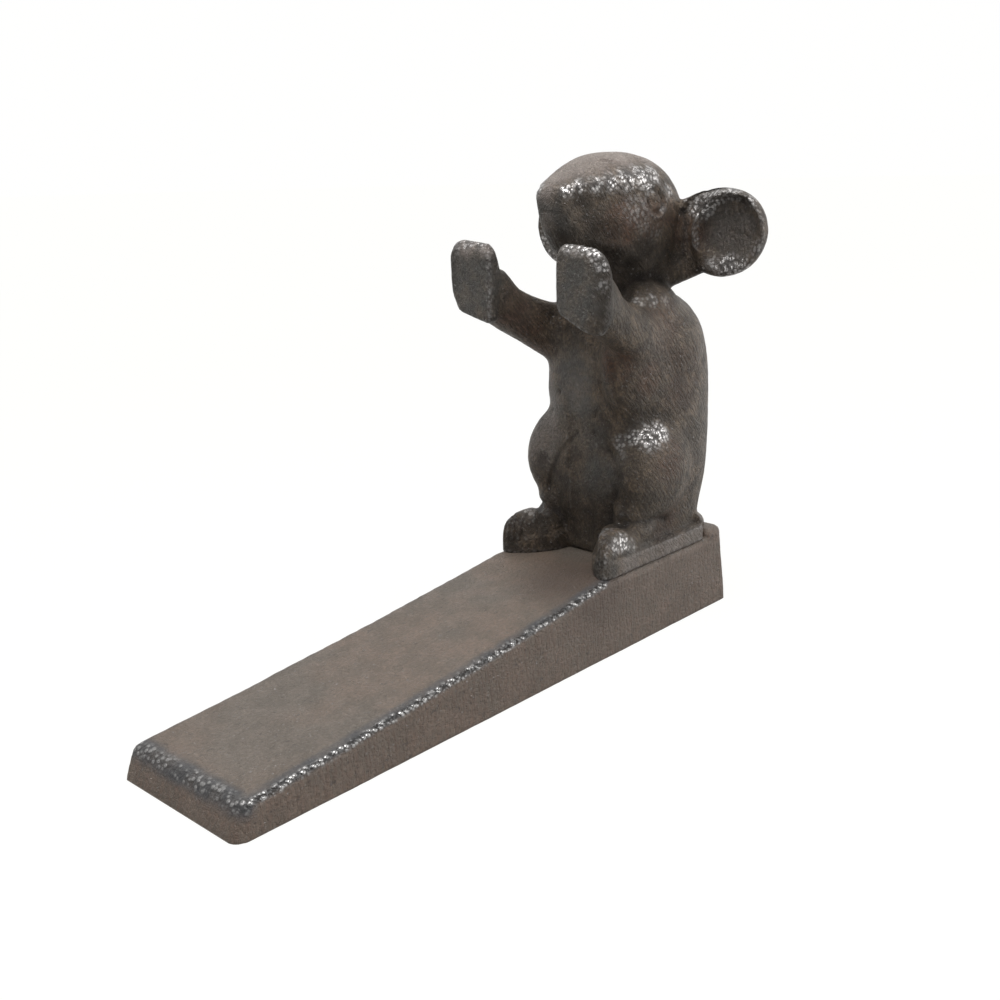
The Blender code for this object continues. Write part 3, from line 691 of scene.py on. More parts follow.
def prism(profile, half_width_at):
    bm = bmesh.new()
    near = [bm.verts.new((x, -half_width_at(z), z)) for x, z in profile]
    far = [bm.verts.new((x, half_width_at(z), z)) for x, z in profile]
    bm.faces.new(near)
    bm.faces.new(list(reversed(far)))
    for i in range(len(profile)):
        j = (i + 1) % len(profile)
        bm.faces.new((near[j], near[i], far[i], far[j]))
    return bm, near, far


def round_edge(bm, start, end, share):
    layers = bm.edges.layers.float
    weights = layers.get("bevel_weight_edge") or layers.new("bevel_weight_edge")
    bm.edges.get((start, end))[weights] = share


def bevel(thing, width, segments):
    step = thing.modifiers.new("rounding", "BEVEL")
    step.width = width
    step.segments = segments
    step.limit_method = "WEIGHT"
    step.use_clamp_overlap = False


def top_stations(start):
    """Points along the top face of the ramp, from just behind the thin end to the platform."""
    corner = start + THIN_END_SLANT
    return [corner, *(x for x in spaced(RAMP_START, PLATFORM_START, RAMP_STEPS) if x > corner + MM)]


def wedge_blank():
    """The outside of the wedge with the lip across its thick end, and its bevels marked."""
    end_top = THICK_END - THICK_END_SLANT
    profile = [(THIN_END, 0.0), (THICK_END, 0.0), (end_top, LIP_TOP)]
    profile += [(LIP_FRONT, LIP_TOP), (LIP_FRONT, PLATFORM_HEIGHT)]
    profile += [(x, ramp_height(x)) for x in reversed(top_stations(THIN_END))]
    bm, near, far = prism(profile, wedge_half_width)
    top_share = TOP_ROUND / CORNER_ROUND
    for side, thin_share in ((near, 1.0), (far, FAR_CORNER_SHARE)):
        round_edge(bm, side[1], side[2], 1.0)
        round_edge(bm, side[-1], side[0], thin_share)
        for start, end in zip(side[2:], side[3:]):
            round_edge(bm, start, end, top_share)
    for index, share in ((2, top_share), (3, LIP_ROUND / CORNER_ROUND), (-1, top_share)):
        round_edge(bm, near[index], far[index], share)
    return bm


def pocket_cutter():
    """The hollow under the wedge, open below, with its roof parallel to the top face."""
    start = THIN_END + POCKET_MARGIN
    end = THICK_END - RIM_WIDTH
    roof = PLATFORM_HEIGHT - ROOF_THICKNESS
    profile = [(start, -CUT_OVERRUN), (end, -CUT_OVERRUN), (end - THICK_END_SLANT, roof)]
    profile += [(x, ramp_height(x) - ROOF_THICKNESS) for x in reversed(top_stations(start))]
    bm, near, far = prism(profile, lambda z: wedge_half_width(z) - RIM_WIDTH)
    for side in (near, far):
        round_edge(bm, side[1], side[2], 1.0)
        round_edge(bm, side[-1], side[0], 1.0)
    return bm


def make_wedge(group):
    """The wedge casting, hollow below, with soft uneven edges."""
    wedge = add_object("wedge_casting", wedge_blank())
    bevel(wedge, CORNER_ROUND, 6)
    pocket = add_object("pocket", pocket_cutter())
    bevel(pocket, POCKET_ROUND, 4)
    boss_top = PLATFORM_HEIGHT - ROOF_THICKNESS / 2
    boss = add_object("boss", cylinder(BOSS_DIAMETER / 2, BOSS_FACE_HEIGHT, boss_top, SCREW_X))
    hole_radius = SCREW_DIAMETER / 2 + HOLE_CLEARANCE
    hole_shape = cylinder(hole_radius, -CUT_OVERRUN, PLATFORM_HEIGHT + CUT_OVERRUN, SCREW_X)
    hole = add_object("hole", hole_shape)
    boolean(wedge, pocket, "DIFFERENCE")
    boolean(wedge, boss, "UNION")
    boolean(wedge, hole, "DIFFERENCE")
    apply_modifiers(wedge)
    drop(pocket, boss, hole)
    melt(wedge, WEDGE_GRID, WEDGE_PASSES)

    points, normals = mesh_points(wedge.data)
    set_points(wedge.data, points + CAST_GROWTH / MM * normals)
    roughen(wedge, group, wedge_finish(), WEDGE_WAVE, WEDGE_LUMP)
    sharpen_base(wedge.data)
    keep_inside(wedge.data)
    mark_wedge(wedge.data)
    wedge.data.shade_smooth()
    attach(wedge, "root")
    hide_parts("wedge")


def sharpen_base(mesh):
    """Draw the lowest band of the casting down, so that its edge on the floor stays crisp."""
    points, _ = mesh_points(mesh)
    points[:, 2] -= BASE_DROP / MM * fade(points[:, 2], *BASE_BAND)
    set_points(mesh, points)


def top_edge(side, end=THICK_END):
    """The line along the wedge's top edge on one side, in millimetres."""
    stations = [x for x in spaced(RAMP_START, PLATFORM_START, RAMP_STEPS) if x < end] + [end]
    return [(x / MM, side * wedge_half_width(ramp_height(x)) / MM, ramp_height(x) / MM) for x in stations]


# Distances in millimetres over which the marks beside the wedge's edges fade, how much of
# the thin end's beads and the far edge's band there is, and what counts as facing up
NEAR_BEADS = (0.6, 1.4)
END_BEADS = (1.0, 2.6)
END_BEADS_SHARE = 0.7
NEAR_BAND = (1.4, 3.4)
END_BAND = (1.6, 4.2)
FAR_BAND = (0.6, 2.2)
FAR_BAND_SHARE = 0.3
FACING_UP = (0.35, 0.85)


def mark_wedge(mesh):
    """Where the lacquer is beaded, where it is dark beside the edges, and which way faces look."""
    points, normals = mesh_points(mesh)
    near = distance_to_path(points, top_edge(-1, PLATFORM_START))
    far = distance_to_path(points, top_edge(1))
    end = distance_to_path(points, [top_edge(-1)[0], top_edge(1)[0]])
    facing_up = ease(normals[:, 2], *FACING_UP)
    store(mesh, "beaded", np.maximum(fade(near, *NEAR_BEADS), END_BEADS_SHARE * fade(end, *END_BEADS)))
    band = np.maximum(fade(near, *NEAR_BAND) * facing_up, fade(end, *END_BAND))
    store(mesh, "band", np.maximum(band, FAR_BAND_SHARE * fade(far, *FAR_BAND)))
    store(mesh, "facing_up", facing_up)


def keep_inside(mesh):
    """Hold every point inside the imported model's box."""
    points, _ = mesh_points(mesh)
    low = np.array(cad_box[0]) / MM
    high = np.array(cad_box[1]) / MM
    set_points(mesh, np.clip(points, low, high))


# Rounded lumps of each flank in millimetres: how far they are set back from the trunk's
# front, the spacing of the pair, their height above the soles, then length, width, depth
LOBES = {
    "shoulder": (21.0, 17.5, 56.0, 33.0, 25.0, 29.0),
    "near_flank": (13.5, 24.0, 55.0, 34.0, 16.0, 42.0),
    "far_flank": (22.0, 24.0, 55.0, 34.0, 16.0, 42.0),
    "thigh": (17.0, 22.6, 25.0, 37.0, 21.6, 33.0),
    "shin": (7.5, 26.0, 11.25, 15.0, 11.0, 22.5),
}

# Trunk from its base up: share of its height, how far its front and its back lie inside
# as shares of its depth, share of its width, and its squareness
TRUNK_FORM = (
    (0.00, 0.07, 0.07, 0.84, 3.3),
    (0.10, 0.06, 0.06, 0.84, 3.3),
    (0.18, 0.04, 0.05, 0.88, 3.3),
    (0.28, 0.02, 0.03, 0.96, 3.1),
    (0.42, 0.01, 0.01, 1.00, 2.8),
    (0.58, 0.01, 0.00, 1.00, 2.7),
    (0.74, 0.02, 0.01, 0.97, 2.7),
    (0.86, 0.04, 0.08, 0.93, 2.8),
    (0.94, 0.08, 0.18, 0.87, 2.7),
    (1.00, 0.14, 0.29, 0.74, 2.5),
)

# Share of the head's length from the nose, then the crown, the ridge over the
# side plane, the cheek, the jaw and the throat: shares of the head's depth
# below the crown, and for ridge, cheek and jaw a share of its half width first
HEAD_FORM = (
    (0.039, 0.232, 0.221, 0.252, 0.234, 0.312, 0.179, 0.365, 0.392),
    (0.055, 0.200, 0.331, 0.232, 0.338, 0.318, 0.248, 0.425, 0.462),
    (0.104, 0.164, 0.414, 0.196, 0.414, 0.327, 0.310, 0.490, 0.560),
    (0.169, 0.120, 0.510, 0.174, 0.552, 0.338, 0.386, 0.555, 0.660),
    (0.241, 0.070, 0.614, 0.159, 0.731, 0.352, 0.510, 0.620, 0.755),
    (0.337, 0.024, 0.703, 0.143, 0.897, 0.368, 0.621, 0.680, 0.840),
    (0.459, 0.000, 0.786, 0.130, 1.034, 0.382, 0.717, 0.738, 0.925),
    (0.602, 0.002, 0.841, 0.132, 1.090, 0.407, 0.759, 0.787, 0.988),
    (0.745, 0.032, 0.828, 0.168, 1.076, 0.438, 0.786, 0.812, 1.012),
    (0.867, 0.093, 0.703, 0.227, 0.952, 0.475, 0.731, 0.787, 0.963),
    (0.949, 0.182, 0.469, 0.293, 0.662, 0.500, 0.524, 0.725, 0.863),
    (0.996, 0.312, 0.207, 0.375, 0.303, 0.512, 0.221, 0.662, 0.713),
)

# From the middle of an ear outwards: share of its radius, then the place of
# its surface as a share of its dish and of its half thickness
EAR_FORM = (
    (0.01, 1.0, -1.0), (0.45, 0.8, -1.0), (0.74, 0.2, -1.0), (0.88, 0.0, -1.0), (0.97, 0.0, -0.6),
    (1.0, 0.0, 0.0), (0.96, 0.0, 0.6), (0.80, 0.0, 1.0), (0.40, 0.0, 1.1), (0.01, 0.0, 1.1),
)

# Outline of a hand behind its palm: shares of its width, inner edge first, and of its height
PALM_FORM = (
    (0.06, 0.96), (0.14, 1.00), (0.74, 1.00), (0.92, 0.95), (1.00, 0.82), (1.00, 0.45), (0.97, 0.20),
    (0.82, -0.01), (0.74, -0.02), (0.40, 0.01), (0.08, 0.04), (0.01, 0.12), (0.00, 0.45), (0.01, 0.86),
)

# Hand from its palm back: share of its thickness, then its inner and outer edge as
# shares of its width, its lower and upper end as shares of its height, and how much
# of its width the near hand's outer edge is cut back
HAND_FORM = (
    (0.00, 0.04, 0.98, 0.09, 0.89, 0.19),
    (0.10, 0.01, 1.02, 0.07, 0.94, 0.17),
    (0.40, 0.01, 1.03, 0.06, 1.00, 0.03),
    (0.78, 0.08, 1.01, 0.06, 0.90, 0.00),
    (1.10, 0.16, 0.92, 0.10, 0.74, 0.00),
)

# Arm from the hand to its root in the trunk: share of the way back and in, share
# of the way down, shares of its half width and half depth
ARM_FORM = (
    (0.13, 0.08, 1.25, 1.06),
    (0.22, 0.23, 1.15, 1.00),
    (0.32, 0.39, 1.03, 0.94),
    (0.46, 0.54, 1.02, 0.96),
    (0.60, 0.67, 1.14, 1.04),
    (0.80, 0.85, 1.36, 1.20),
    (1.00, 1.00, 1.46, 1.25),
)

# Foot from its toe back: share of its length, of its height, then its outer and inner
# edge as shares of its width from the outside
FOOT_FORM = (
    (0.000, 0.50, 0.08, 0.22),
    (0.010, 0.70, 0.03, 0.29),
    (0.025, 0.85, 0.01, 0.36),
    (0.055, 0.97, 0.00, 0.47),
    (0.110, 1.05, 0.00, 0.66),
    (0.200, 1.08, 0.00, 0.90),
    (0.320, 1.02, 0.03, 1.00),
    (0.460, 0.88, 0.08, 1.00),
    (0.650, 0.74, 0.11, 1.00),
    (0.820, 0.63, 0.13, 1.00),
    (0.960, 0.50, 0.15, 0.98),
)

# Tail from the lower back: share of the trunk's depth in from its back, shares of
# the sweep to the far side and of the rise, and share of its half thickness
TAIL_FORM = (
    (0.15, 0.18, 1.00, 1.00),
    (0.12, 0.00, 0.46, 0.90),
    (0.11, -0.48, 0.28, 0.76),
    (0.15, -0.79, 0.28, 0.66),
    (0.26, -1.00, 0.42, 0.48),
)


def add_lobe(bm, side, name, turn=0.0):
    """A rounded lump of one flank."""
    set_back, spacing, height, length, width, depth = (MM * size for size in LOBES[name])
    centre = Vector((TRUNK_FRONT + set_back, side * spacing / 2, FIGURE_BASE + height))
    shape = Matrix.Rotation(turn, 4, "Z") @ Matrix.Diagonal((length / 2, width / 2, depth / 2, 1.0))
    bmesh.ops.create_uvsphere(
        bm, u_segments=36, v_segments=24, radius=1.0, matrix=Matrix.Translation(centre) @ shape)


def add_trunk(bm):
    rings = []
    for height, front_cut, back_cut, width, squareness in smooth_rows(TRUNK_FORM, 4):
        front = TRUNK_FRONT + TRUNK_DEPTH * front_cut
        back = TRUNK_BACK - TRUNK_DEPTH * back_cut
        centre = Vector(((front + back) / 2, 0, FIGURE_BASE + TRUNK_HEIGHT * height))
        rings.append(oval(centre, X_AXIS, Y_AXIS, (back - front) / 2, TRUNK_WIDTH / 2 * width, squareness))
    loft(bm, rings)


def add_neck(bm):
    low = FIGURE_BASE + 0.8 * TRUNK_HEIGHT
    high = CROWN - 0.5 * HEAD_DEPTH
    x = HEAD_BACK - NECK_FROM_HEAD_BACK + NECK_BACK_EXTRA / 2
    loft(bm, [
        oval(Vector((x, 0, z)), X_AXIS, Y_AXIS, (NECK_DEPTH + NECK_BACK_EXTRA) / 2, NECK_WIDTH / 2,
             NECK_SQUARENESS)
        for z in spaced(low, high, 6)])


def add_head(bm):
    """The head: flat-topped muzzle, side planes under a ridge, and a narrower jaw."""
    half_width = HEAD_WIDTH / 2
    rings = []
    for along, crown, ridge, ridge_z, cheek, cheek_z, jaw, jaw_z, throat in smooth_rows(HEAD_FORM, 3):
        x = NOSE + HEAD_LENGTH * along
        half = [(0.42 * ridge, crown), (ridge, ridge_z), (cheek, cheek_z), (jaw, jaw_z), (0.5 * jaw, throat)]
        outline = half + [(-y, z) for y, z in reversed(half)]
        points = [Vector((x, half_width * y, CROWN - HEAD_DEPTH * z)) for y, z in outline]
        rings.append(cut_corners(points, 2))
    loft(bm, rings)


def add_ear(bm, side):
    x = HEAD_BACK - EAR_FROM_HEAD_BACK
    centre = Vector((x, side * EAR_SPREAD / 2, CROWN - EAR_BELOW_CROWN))
    rings = []
    for share, dish, rim in EAR_FORM:
        middle = centre + X_AXIS * (EAR_HOLLOW * dish + EAR_THICKNESS / 2 * rim)
        half_width = EAR_WIDTH / 2 * share
        ring = oval(middle, Y_AXIS, Z_AXIS, half_width, EAR_HEIGHT / 2 * share, EAR_SQUARENESS)
        for point in ring:
            out = max(side * (point.y - middle.y) / (EAR_WIDTH / 2), 0.0)
            down = max((middle.z - point.z) / (EAR_HEIGHT / 2), 0.0)
            point.xyz = middle.lerp(point, 1 - EAR_TRIM * min(2 * out * down, 1.0))
        rings.append(ring)
    loft(bm, rings)
    root_in = Vector((x - EAR_ROOT_LEAN, side * EAR_ROOT_SPACING / 2, centre.z - EAR_ROOT_DROP))
    root_out = centre - Y_AXIS * (side * EAR_WIDTH / 4)
    rings = []
    for t in spaced(0.0, 1.0, 5):
        depth = EAR_ROOT_DEPTH / 2 + (EAR_THICKNESS / 2 - EAR_ROOT_DEPTH / 2) * t
        middle = root_in.lerp(root_out, t)
        rings.append(oval(middle, X_AXIS, Z_AXIS, depth, EAR_ROOT_HEIGHT / 2, EAR_ROOT_SQUARENESS))
    loft(bm, rings)


def tube(bm, points, radii, squareness):
    """Skin a path with ovals of (half width, half depth), one pair at each point."""
    rings = []
    for i, point in enumerate(points):
        along = (points[min(i + 1, len(points) - 1)] - points[max(i - 1, 0)]).normalized()
        across = Z_AXIS.cross(along).normalized()
        rings.append(oval(point, across, along.cross(across), *radii[i], squareness))
    loft(bm, rings)


def add_arm(bm, side):
    """One arm from its hand into the shoulder, and the flank that carries it."""
    add_lobe(bm, side, "shoulder")
    palm = Vector((PALM_FACE, side * PALM_SPACING / 2, FIGURE_BASE + PALM_TOP_HEIGHT - PALM_HEIGHT / 2))
    root = Vector((TRUNK_FRONT + ARM_ROOT_DEPTH, side * ARM_ROOT_SPACING / 2, FIGURE_BASE + ARM_ROOT_HEIGHT))
    points = []
    radii = []
    for back, drop, width, depth in smooth_rows(ARM_FORM, 4):
        points.append(Vector((
            palm.x + (root.x - palm.x) * back,
            palm.y + (root.y - palm.y) * back ** 2,
            palm.z + (root.z - palm.z) * drop)))
        radii.append((ARM_WIDTH / 2 * width, ARM_DEPTH / 2 * depth))
    tube(bm, points, radii, ARM_SQUARENESS)
    add_lobe(bm, side, "near_flank" if side < 0 else "far_flank")


def add_hand(bm, side):
    """One raised hand: a flat palm with rounded sides that leads into the wrist."""
    y_mid = side * PALM_SPACING / 2
    z_mid = FIGURE_BASE + PALM_TOP_HEIGHT - PALM_HEIGHT / 2
    rings = []
    for depth, inner, outer, low, high, cut in smooth_rows(HAND_FORM, 3):
        outer -= cut if side < 0 else 0.0
        ring = []
        for across, up in PALM_FORM:
            y = y_mid + side * (inner + (outer - inner) * across - 0.5) * PALM_WIDTH
            z = z_mid + (low + (high - low) * up - 0.5) * PALM_HEIGHT
            z += (y - y_mid) * (PALM_SLANT - (PALM_SLANT - PALM_TOP_SLANT) * up)
            ring.append(Vector((PALM_FACE + PALM_THICKNESS * depth, y, z)))
        rings.append(ring)
    loft(bm, rings)


def add_leg(bm, side):
    add_lobe(bm, side, "thigh", -side * THIGH_TURN)
    add_lobe(bm, side, "shin")


def add_foot(bm, side):
    extra = TOE_EXTRA if side < 0 else 0.0
    toe = TRUNK_FRONT - FOOT_REACH - extra
    rings = []
    for along, height, outer, inner in smooth_rows(FOOT_FORM, 3):
        y = side * (SOLE_EDGE - FOOT_WIDTH * (outer + inner) / 2)
        half_width = FOOT_WIDTH * (inner - outer) / 2 - SOLE_MARGIN
        centre = Vector((toe + (FOOT_LENGTH + extra) * along, y, FIGURE_BASE))
        ring = oval(centre, Y_AXIS, Z_AXIS, half_width, FOOT_HEIGHT * height, FOOT_SQUARENESS)
        for point in ring:
            point.z = max(point.z, FIGURE_BASE)
        rings.append(ring)
    loft(bm, rings)


def add_sole(bm, side):
    """The flat sole under one foot: flush outside, and cut away on the inside of the toe."""
    heel = TRUNK_FRONT - FOOT_REACH + FOOT_LENGTH
    toe = TRUNK_FRONT - FOOT_REACH - (TOE_EXTRA if side < 0 else 0.0)
    inner = SOLE_EDGE - FOOT_WIDTH
    corner = OUTER_TOE_CORNER
    outline = [(heel - HEEL_CORNER, SOLE_EDGE), (heel, SOLE_EDGE - HEEL_CORNER), (heel, inner)]
    for angle in spaced(0.0, math.pi / 2, 12):
        x = math.cos(angle) ** (2 / TOE_SQUARENESS)
        y = math.sin(angle) ** (2 / TOE_SQUARENESS)
        outline.append((toe + TOE_DEPTH * (1 - y), inner + (FOOT_WIDTH - corner) * (1 - x)))
    for angle in spaced(math.radians(170), math.radians(90), 5):
        outline.append((
            toe + corner * (1 + math.cos(angle)), SOLE_EDGE - corner * (1 - math.sin(angle))))
    loft(bm, [
        [Vector((x, side * y, z)) for x, y in outline]
        for z in (FIGURE_BASE, FIGURE_BASE + SLAB_THICKNESS)])


def add_tail(bm):
    points = []
    radii = []
    for inward, across, up, thickness in smooth_rows(TAIL_FORM, 4):
        x = TRUNK_BACK - TRUNK_DEPTH * inward
        points.append(Vector((x, TAIL_SWEEP * across, FIGURE_BASE + TAIL_RISE * up)))
        radii.append((TAIL_THICKNESS / 2 * thickness, TAIL_THICKNESS / 2 * thickness))
    tube(bm, points, radii, TAIL_SQUARENESS)


def carve(points, normals, path, axis, facing, width, depth, sides=BOTH):
    """Sink a rounded groove along a path that is drawn on the view along one axis.

    The groove lies where the surface faces a direction, and a negative depth raises a bead.
    """
    seen = [i for i in range(3) if i != axis]
    for side in sides:
        flip = np.array((1, side, 1), dtype=float)
        toward = np.clip(normals @ (np.array(facing) * flip), 0, 1)
        away = distance_to_path(points[:, seen], np.array(path) * flip[seen])
        sunk = depth * np.exp(-(away / width) ** 2) * ease(toward, 0.05, 0.4)
        points -= normals * sunk[:, None]


def make_mouse(group):
    """The mouse casting: lofted forms melted together, then carved."""
    soft = bmesh.new()
    add_trunk(soft)
    for side in (-1, 1):
        add_arm(soft, side)
        add_hand(soft, side)
        add_leg(soft, side)
    body = melt(add_object("soft_body", soft), BODY_GRID, BODY_PASSES)

    bm = bmesh.new()
    bm.from_mesh(body.data)
    drop(body)
    add_neck(bm)
    add_head(bm)
    add_tail(bm)
    for side in (-1, 1):
        add_ear(bm, side)
        add_hand(bm, side)
        add_foot(bm, side)
        add_sole(bm, side)
    mouse = melt(add_object("mouse_casting", bm), SKIN_GRID, SKIN_PASSES)
    points, normals = mesh_points(mouse.data)
    carve_details(points, normals)
    set_points(mouse.data, points)

    hole_end = SCREW_SEAT + SCREW_LENGTH + HOLE_EXTRA_DEPTH
    hole = cylinder(SCREW_DIAMETER / 2 + SEAT_GAP, FIGURE_BASE - CUT_OVERRUN, hole_end, SCREW_X)
    tapped = add_object("tapped", hole)
    over_lip = add_object("over_lip", block(
        (LIP_FRONT - SEAT_GAP, -WEDGE_WIDTH, 0), (2 * THICK_END, WEDGE_WIDTH, LIP_TOP + SEAT_GAP)))
    boolean(mouse, tapped, "DIFFERENCE")
    boolean(mouse, over_lip, "DIFFERENCE")
    apply_modifiers(mouse)
    drop(tapped, over_lip)

    roughen(mouse, group, mouse_finish(), MOUSE_WAVE, MOUSE_LUMP)
    points, _ = mesh_points(mouse.data)
    points[:, 2] = points[:, 2].clip(FIGURE_BASE / MM)
    points[:, 0] = points[:, 0].clip(PALM_FACE / MM)
    set_points(mouse.data, points)
    keep_inside(mouse.data)
    mark_mouse(mouse.data)
    mouse.data.shade_smooth()
    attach(mouse, "root")
    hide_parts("mouse")


# Chest strip's fade in height, and the dished fronts of the ears: place of the dish's
# centre (across, up), its radii, the plane of the ear's front, depth, bevel and rise
STRIP_FADE = (74.0, 78.0)
DISH_CENTRE = (28.4, 106.6)
DISH_RADII = (10.1, 10.0)
DISH_DEPTH = 1.8
EAR_FRONT = 70.0
RIM_BEVEL = 2.6
RIM_RISE = 1.2


def flatten_strip(points):
    """Press the flat strip into the chest and belly."""
    low = (FIGURE_BASE + SLAB_THICKNESS) / MM
    edge = 0.5 * STRIP_WIDTH / MM
    inside = fade(np.abs(points[:, 1]), edge - 0.4, edge + 0.1)
    inside *= ease(points[:, 2], low, low + 3) * fade(points[:, 2], *STRIP_FADE)
    face = (TRUNK_FRONT + 2 * STRIP_DEPTH) / MM
    sunk = np.maximum(points[:, 0], face)
    points[:, 0] += inside * (sunk - points[:, 0]) * (points[:, 0] < face + 3)


def press(points, normals, path, width, depth, sides):
    """Sink a soft groove along a path in space; a negative depth raises a ridge."""
    for side in sides:
        away = distance_to_path(points, np.array(path, dtype=float) * (1, side, 1))
        points -= normals * (depth * np.exp(-(away / width) ** 2))[:, None]


def dish_ears(points, normals):
    """Hollow the front of the ears: steep at the inner upper edge, soft at the outer one."""
    across = (np.abs(points[:, 1]) - DISH_CENTRE[0]) / DISH_RADII[0]
    up = (points[:, 2] - DISH_CENTRE[1]) / DISH_RADII[1]
    out = np.hypot(across, up)
    front = (normals[:, 0] < -0.1) & (points[:, 0] > EAR_FRONT - 3.0) & (out < 1.5)
    steep = ease(0.7 * (up - across), -0.3, 0.6)
    depth = DISH_DEPTH * fade(out, 0.46 + 0.42 * steep, 1.04)
    sunk = np.maximum(points[:, 0], EAR_FRONT + depth)
    points[:, 0] = np.where(front & (out < 1.0), sunk, points[:, 0])
    upper = ease(up - 1.1 * across, 0.1, 0.8)
    beyond = np.clip((out - 1.0) / 0.24, 0, 1)
    points[:, 0] += np.where(front & (out >= 1.0), upper * (RIM_BEVEL * beyond - RIM_RISE), 0.0)


# Eye: its centre on the side view, and the radius, width and depth of its rings
EYE_CENTRE = (57.0, 115.2)
EYE_RINGS = ((2.9, 0.7, 0.6), (4.1, 0.7, -0.3))

# Limits of the carving: the head lies above one height, the rest below another, and the
# toes before a place and below a height
HEAD_ABOVE = 96.0
BODY_BELOW = 80.0
TOES_BEFORE = 38.0
TOES_BELOW = 31.5

# Grooves between the toes: places across, ends in height, width and depth
TOE_GROOVES = (-17.4, -16.0, -14.6, -13.2)
TOE_HEIGHTS = (24.0, 31.0)
TOE_WIDTH = 0.42
TOE_GROOVE_DEPTH = 0.6

# Soft creases drawn on the front view (across, up): path, width, depth, sides
FRONT_CREASES = (
    (((-4.5, 57.0), (-8.3, 53.0), (-12.3, 48.0), (-13.4, 43.0), (-12.0, 38.5), (-10.0, 35.0), (-10.0, 29.0)),
     2.2, 0.55, BOTH),
    (((-4.9, 74.0), (-4.8, 60.0)), 0.6, 0.2, BOTH),
    (((3.4, 44.0), (4.2, 33.0)), 0.5, -0.35, NEAR),
)

# Grooves and ridges of the mouse in space, drawn on its near side: the path in
# millimetres, its width, its depth (negative for a ridge), and its sides
CARVING = (
    # Ridge over the side of the head, the flat below it, and the muzzle's upright edge
    (((35.5, -6.0, 119.3), (38.6, -7.6, 119.8), (43.3, -9.6, 120.2), (49.9, -11.2, 121.0),
      (55.0, -11.8, 121.4), (59.5, -11.3, 122.0)), 1.4, -0.45, BOTH),
    (((34.5, -6.5, 114.8), (38.5, -9.0, 115.0), (43.5, -11.2, 115.3), (49.0, -12.8, 115.4)), 3.4, 0.7, BOTH),
    (((32.6, -4.6, 118.0), (33.4, -5.0, 114.5), (34.8, -5.4, 110.5)), 1.2, -0.3, BOTH),
    # Eye and the fold behind it
    (((55.4, -14.4, 115.2), (56.4, -14.4, 115.0)), 1.5, 0.55, BOTH),
    (((63.2, -13.9, 118.6), (64.2, -14.2, 116.2)), 0.8, 0.4, BOTH),
    # Jaw line, the hollow under it, and the crease round the neck
    (((41.0, -8.0, 106.0), (47.5, -10.9, 104.2), (53.3, -11.9, 101.3), (58.0, -12.8, 98.8)), 1.6, -0.5, BOTH),
    (((43.0, -6.8, 101.8), (50.0, -9.4, 99.2), (55.0, -11.4, 96.4), (61.0, -12.0, 94.5)), 3.0, 1.1, BOTH),
    (((43.5, -11.5, 92.4), (49.2, -12.4, 92.0), (58.0, -12.8, 91.3), (63.9, -12.4, 89.9),
      (68.5, -11.5, 88.6)), 2.2, 2.4, BOTH),
    # Scar on the crown
    (((44.7, -4.7, 125.4), (46.5, -5.2, 125.7), (48.6, -6.8, 125.3)), 0.5, 0.5, NEAR),
    # Fold in the near ear
    (((72.0, -28.6, 106.9), (72.0, -31.0, 106.4), (71.0, -34.0, 105.2)), 0.6, 0.45, NEAR),
    # Lower edge of the arms across the chest
    (((46.0, 8.5, 84.2), (45.1, 3.0, 81.5), (44.2, -5.6, 77.4), (43.9, -6.2, 73.5)), 0.8, -0.45, NEAR),
    # Soft hollow over the haunch, and the crease inside it
    (((46.0, -13.0, 60.5), (49.7, -16.8, 60.8), (54.1, -18.8, 59.8), (58.2, -19.9, 57.6)), 2.6, 0.6, BOTH),
    (((44.3, -3.7, 55.4), (44.7, -6.8, 53.0), (45.2, -9.8, 50.1), (44.4, -12.3, 47.6), (44.3, -13.2, 44.5),
      (44.5, -12.4, 41.3), (45.2, -9.4, 36.8), (45.5, -9.0, 31.4)), 0.8, 0.55, NEAR),
    (((44.6, -6.4, 55.2), (45.2, -9.6, 52.6), (45.6, -12.0, 50.4)), 0.6, 0.35, NEAR),
    # Crease over the foot, and the joint of foot and sole
    (((40.5, -12.0, 32.1), (45.1, -16.6, 32.4), (47.2, -17.8, 32.2), (54.0, -18.6, 31.2),
      (60.0, -17.2, 29.8)), 1.3, 1.1, BOTH),
    (((33.0, -18.6, 25.3), (40.0, -19.2, 25.5), (60.0, -19.0, 25.5), (76.0, -18.8, 25.3)), 0.6, 0.5, BOTH),
    # Crack down the far side of the belly
    (((44.0, 1.6, 54.8), (44.0, 4.6, 51.4), (44.0, 8.4, 47.8), (44.0, 10.2, 43.0), (45.0, 12.4, 38.4),
      (44.2, 12.6, 33.5)), 0.6, 0.65, NEAR),
    # Relief beside the far toes
    (((31.8, 9.8, 24.4), (32.6, 9.2, 26.6), (33.4, 8.2, 25.2), (34.6, 7.4, 27.2)), 0.5, 0.45, NEAR),
    # Pits in the chest and belly
    (((44.3, 8.0, 65.4), (44.4, 8.0, 65.0)), 0.7, 0.7, NEAR),
    (((45.7, 12.1, 59.7), (45.7, 12.2, 59.3)), 0.7, 0.6, NEAR),
    (((44.0, -5.4, 61.7), (44.3, -4.4, 59.7)), 0.5, 0.6, NEAR),
    (((43.5, -7.0, 69.6), (43.6, -6.0, 69.2)), 0.5, 0.5, NEAR),
    (((43.8, -6.9, 66.3), (43.9, -6.0, 67.8)), 0.4, 0.4, NEAR),
)


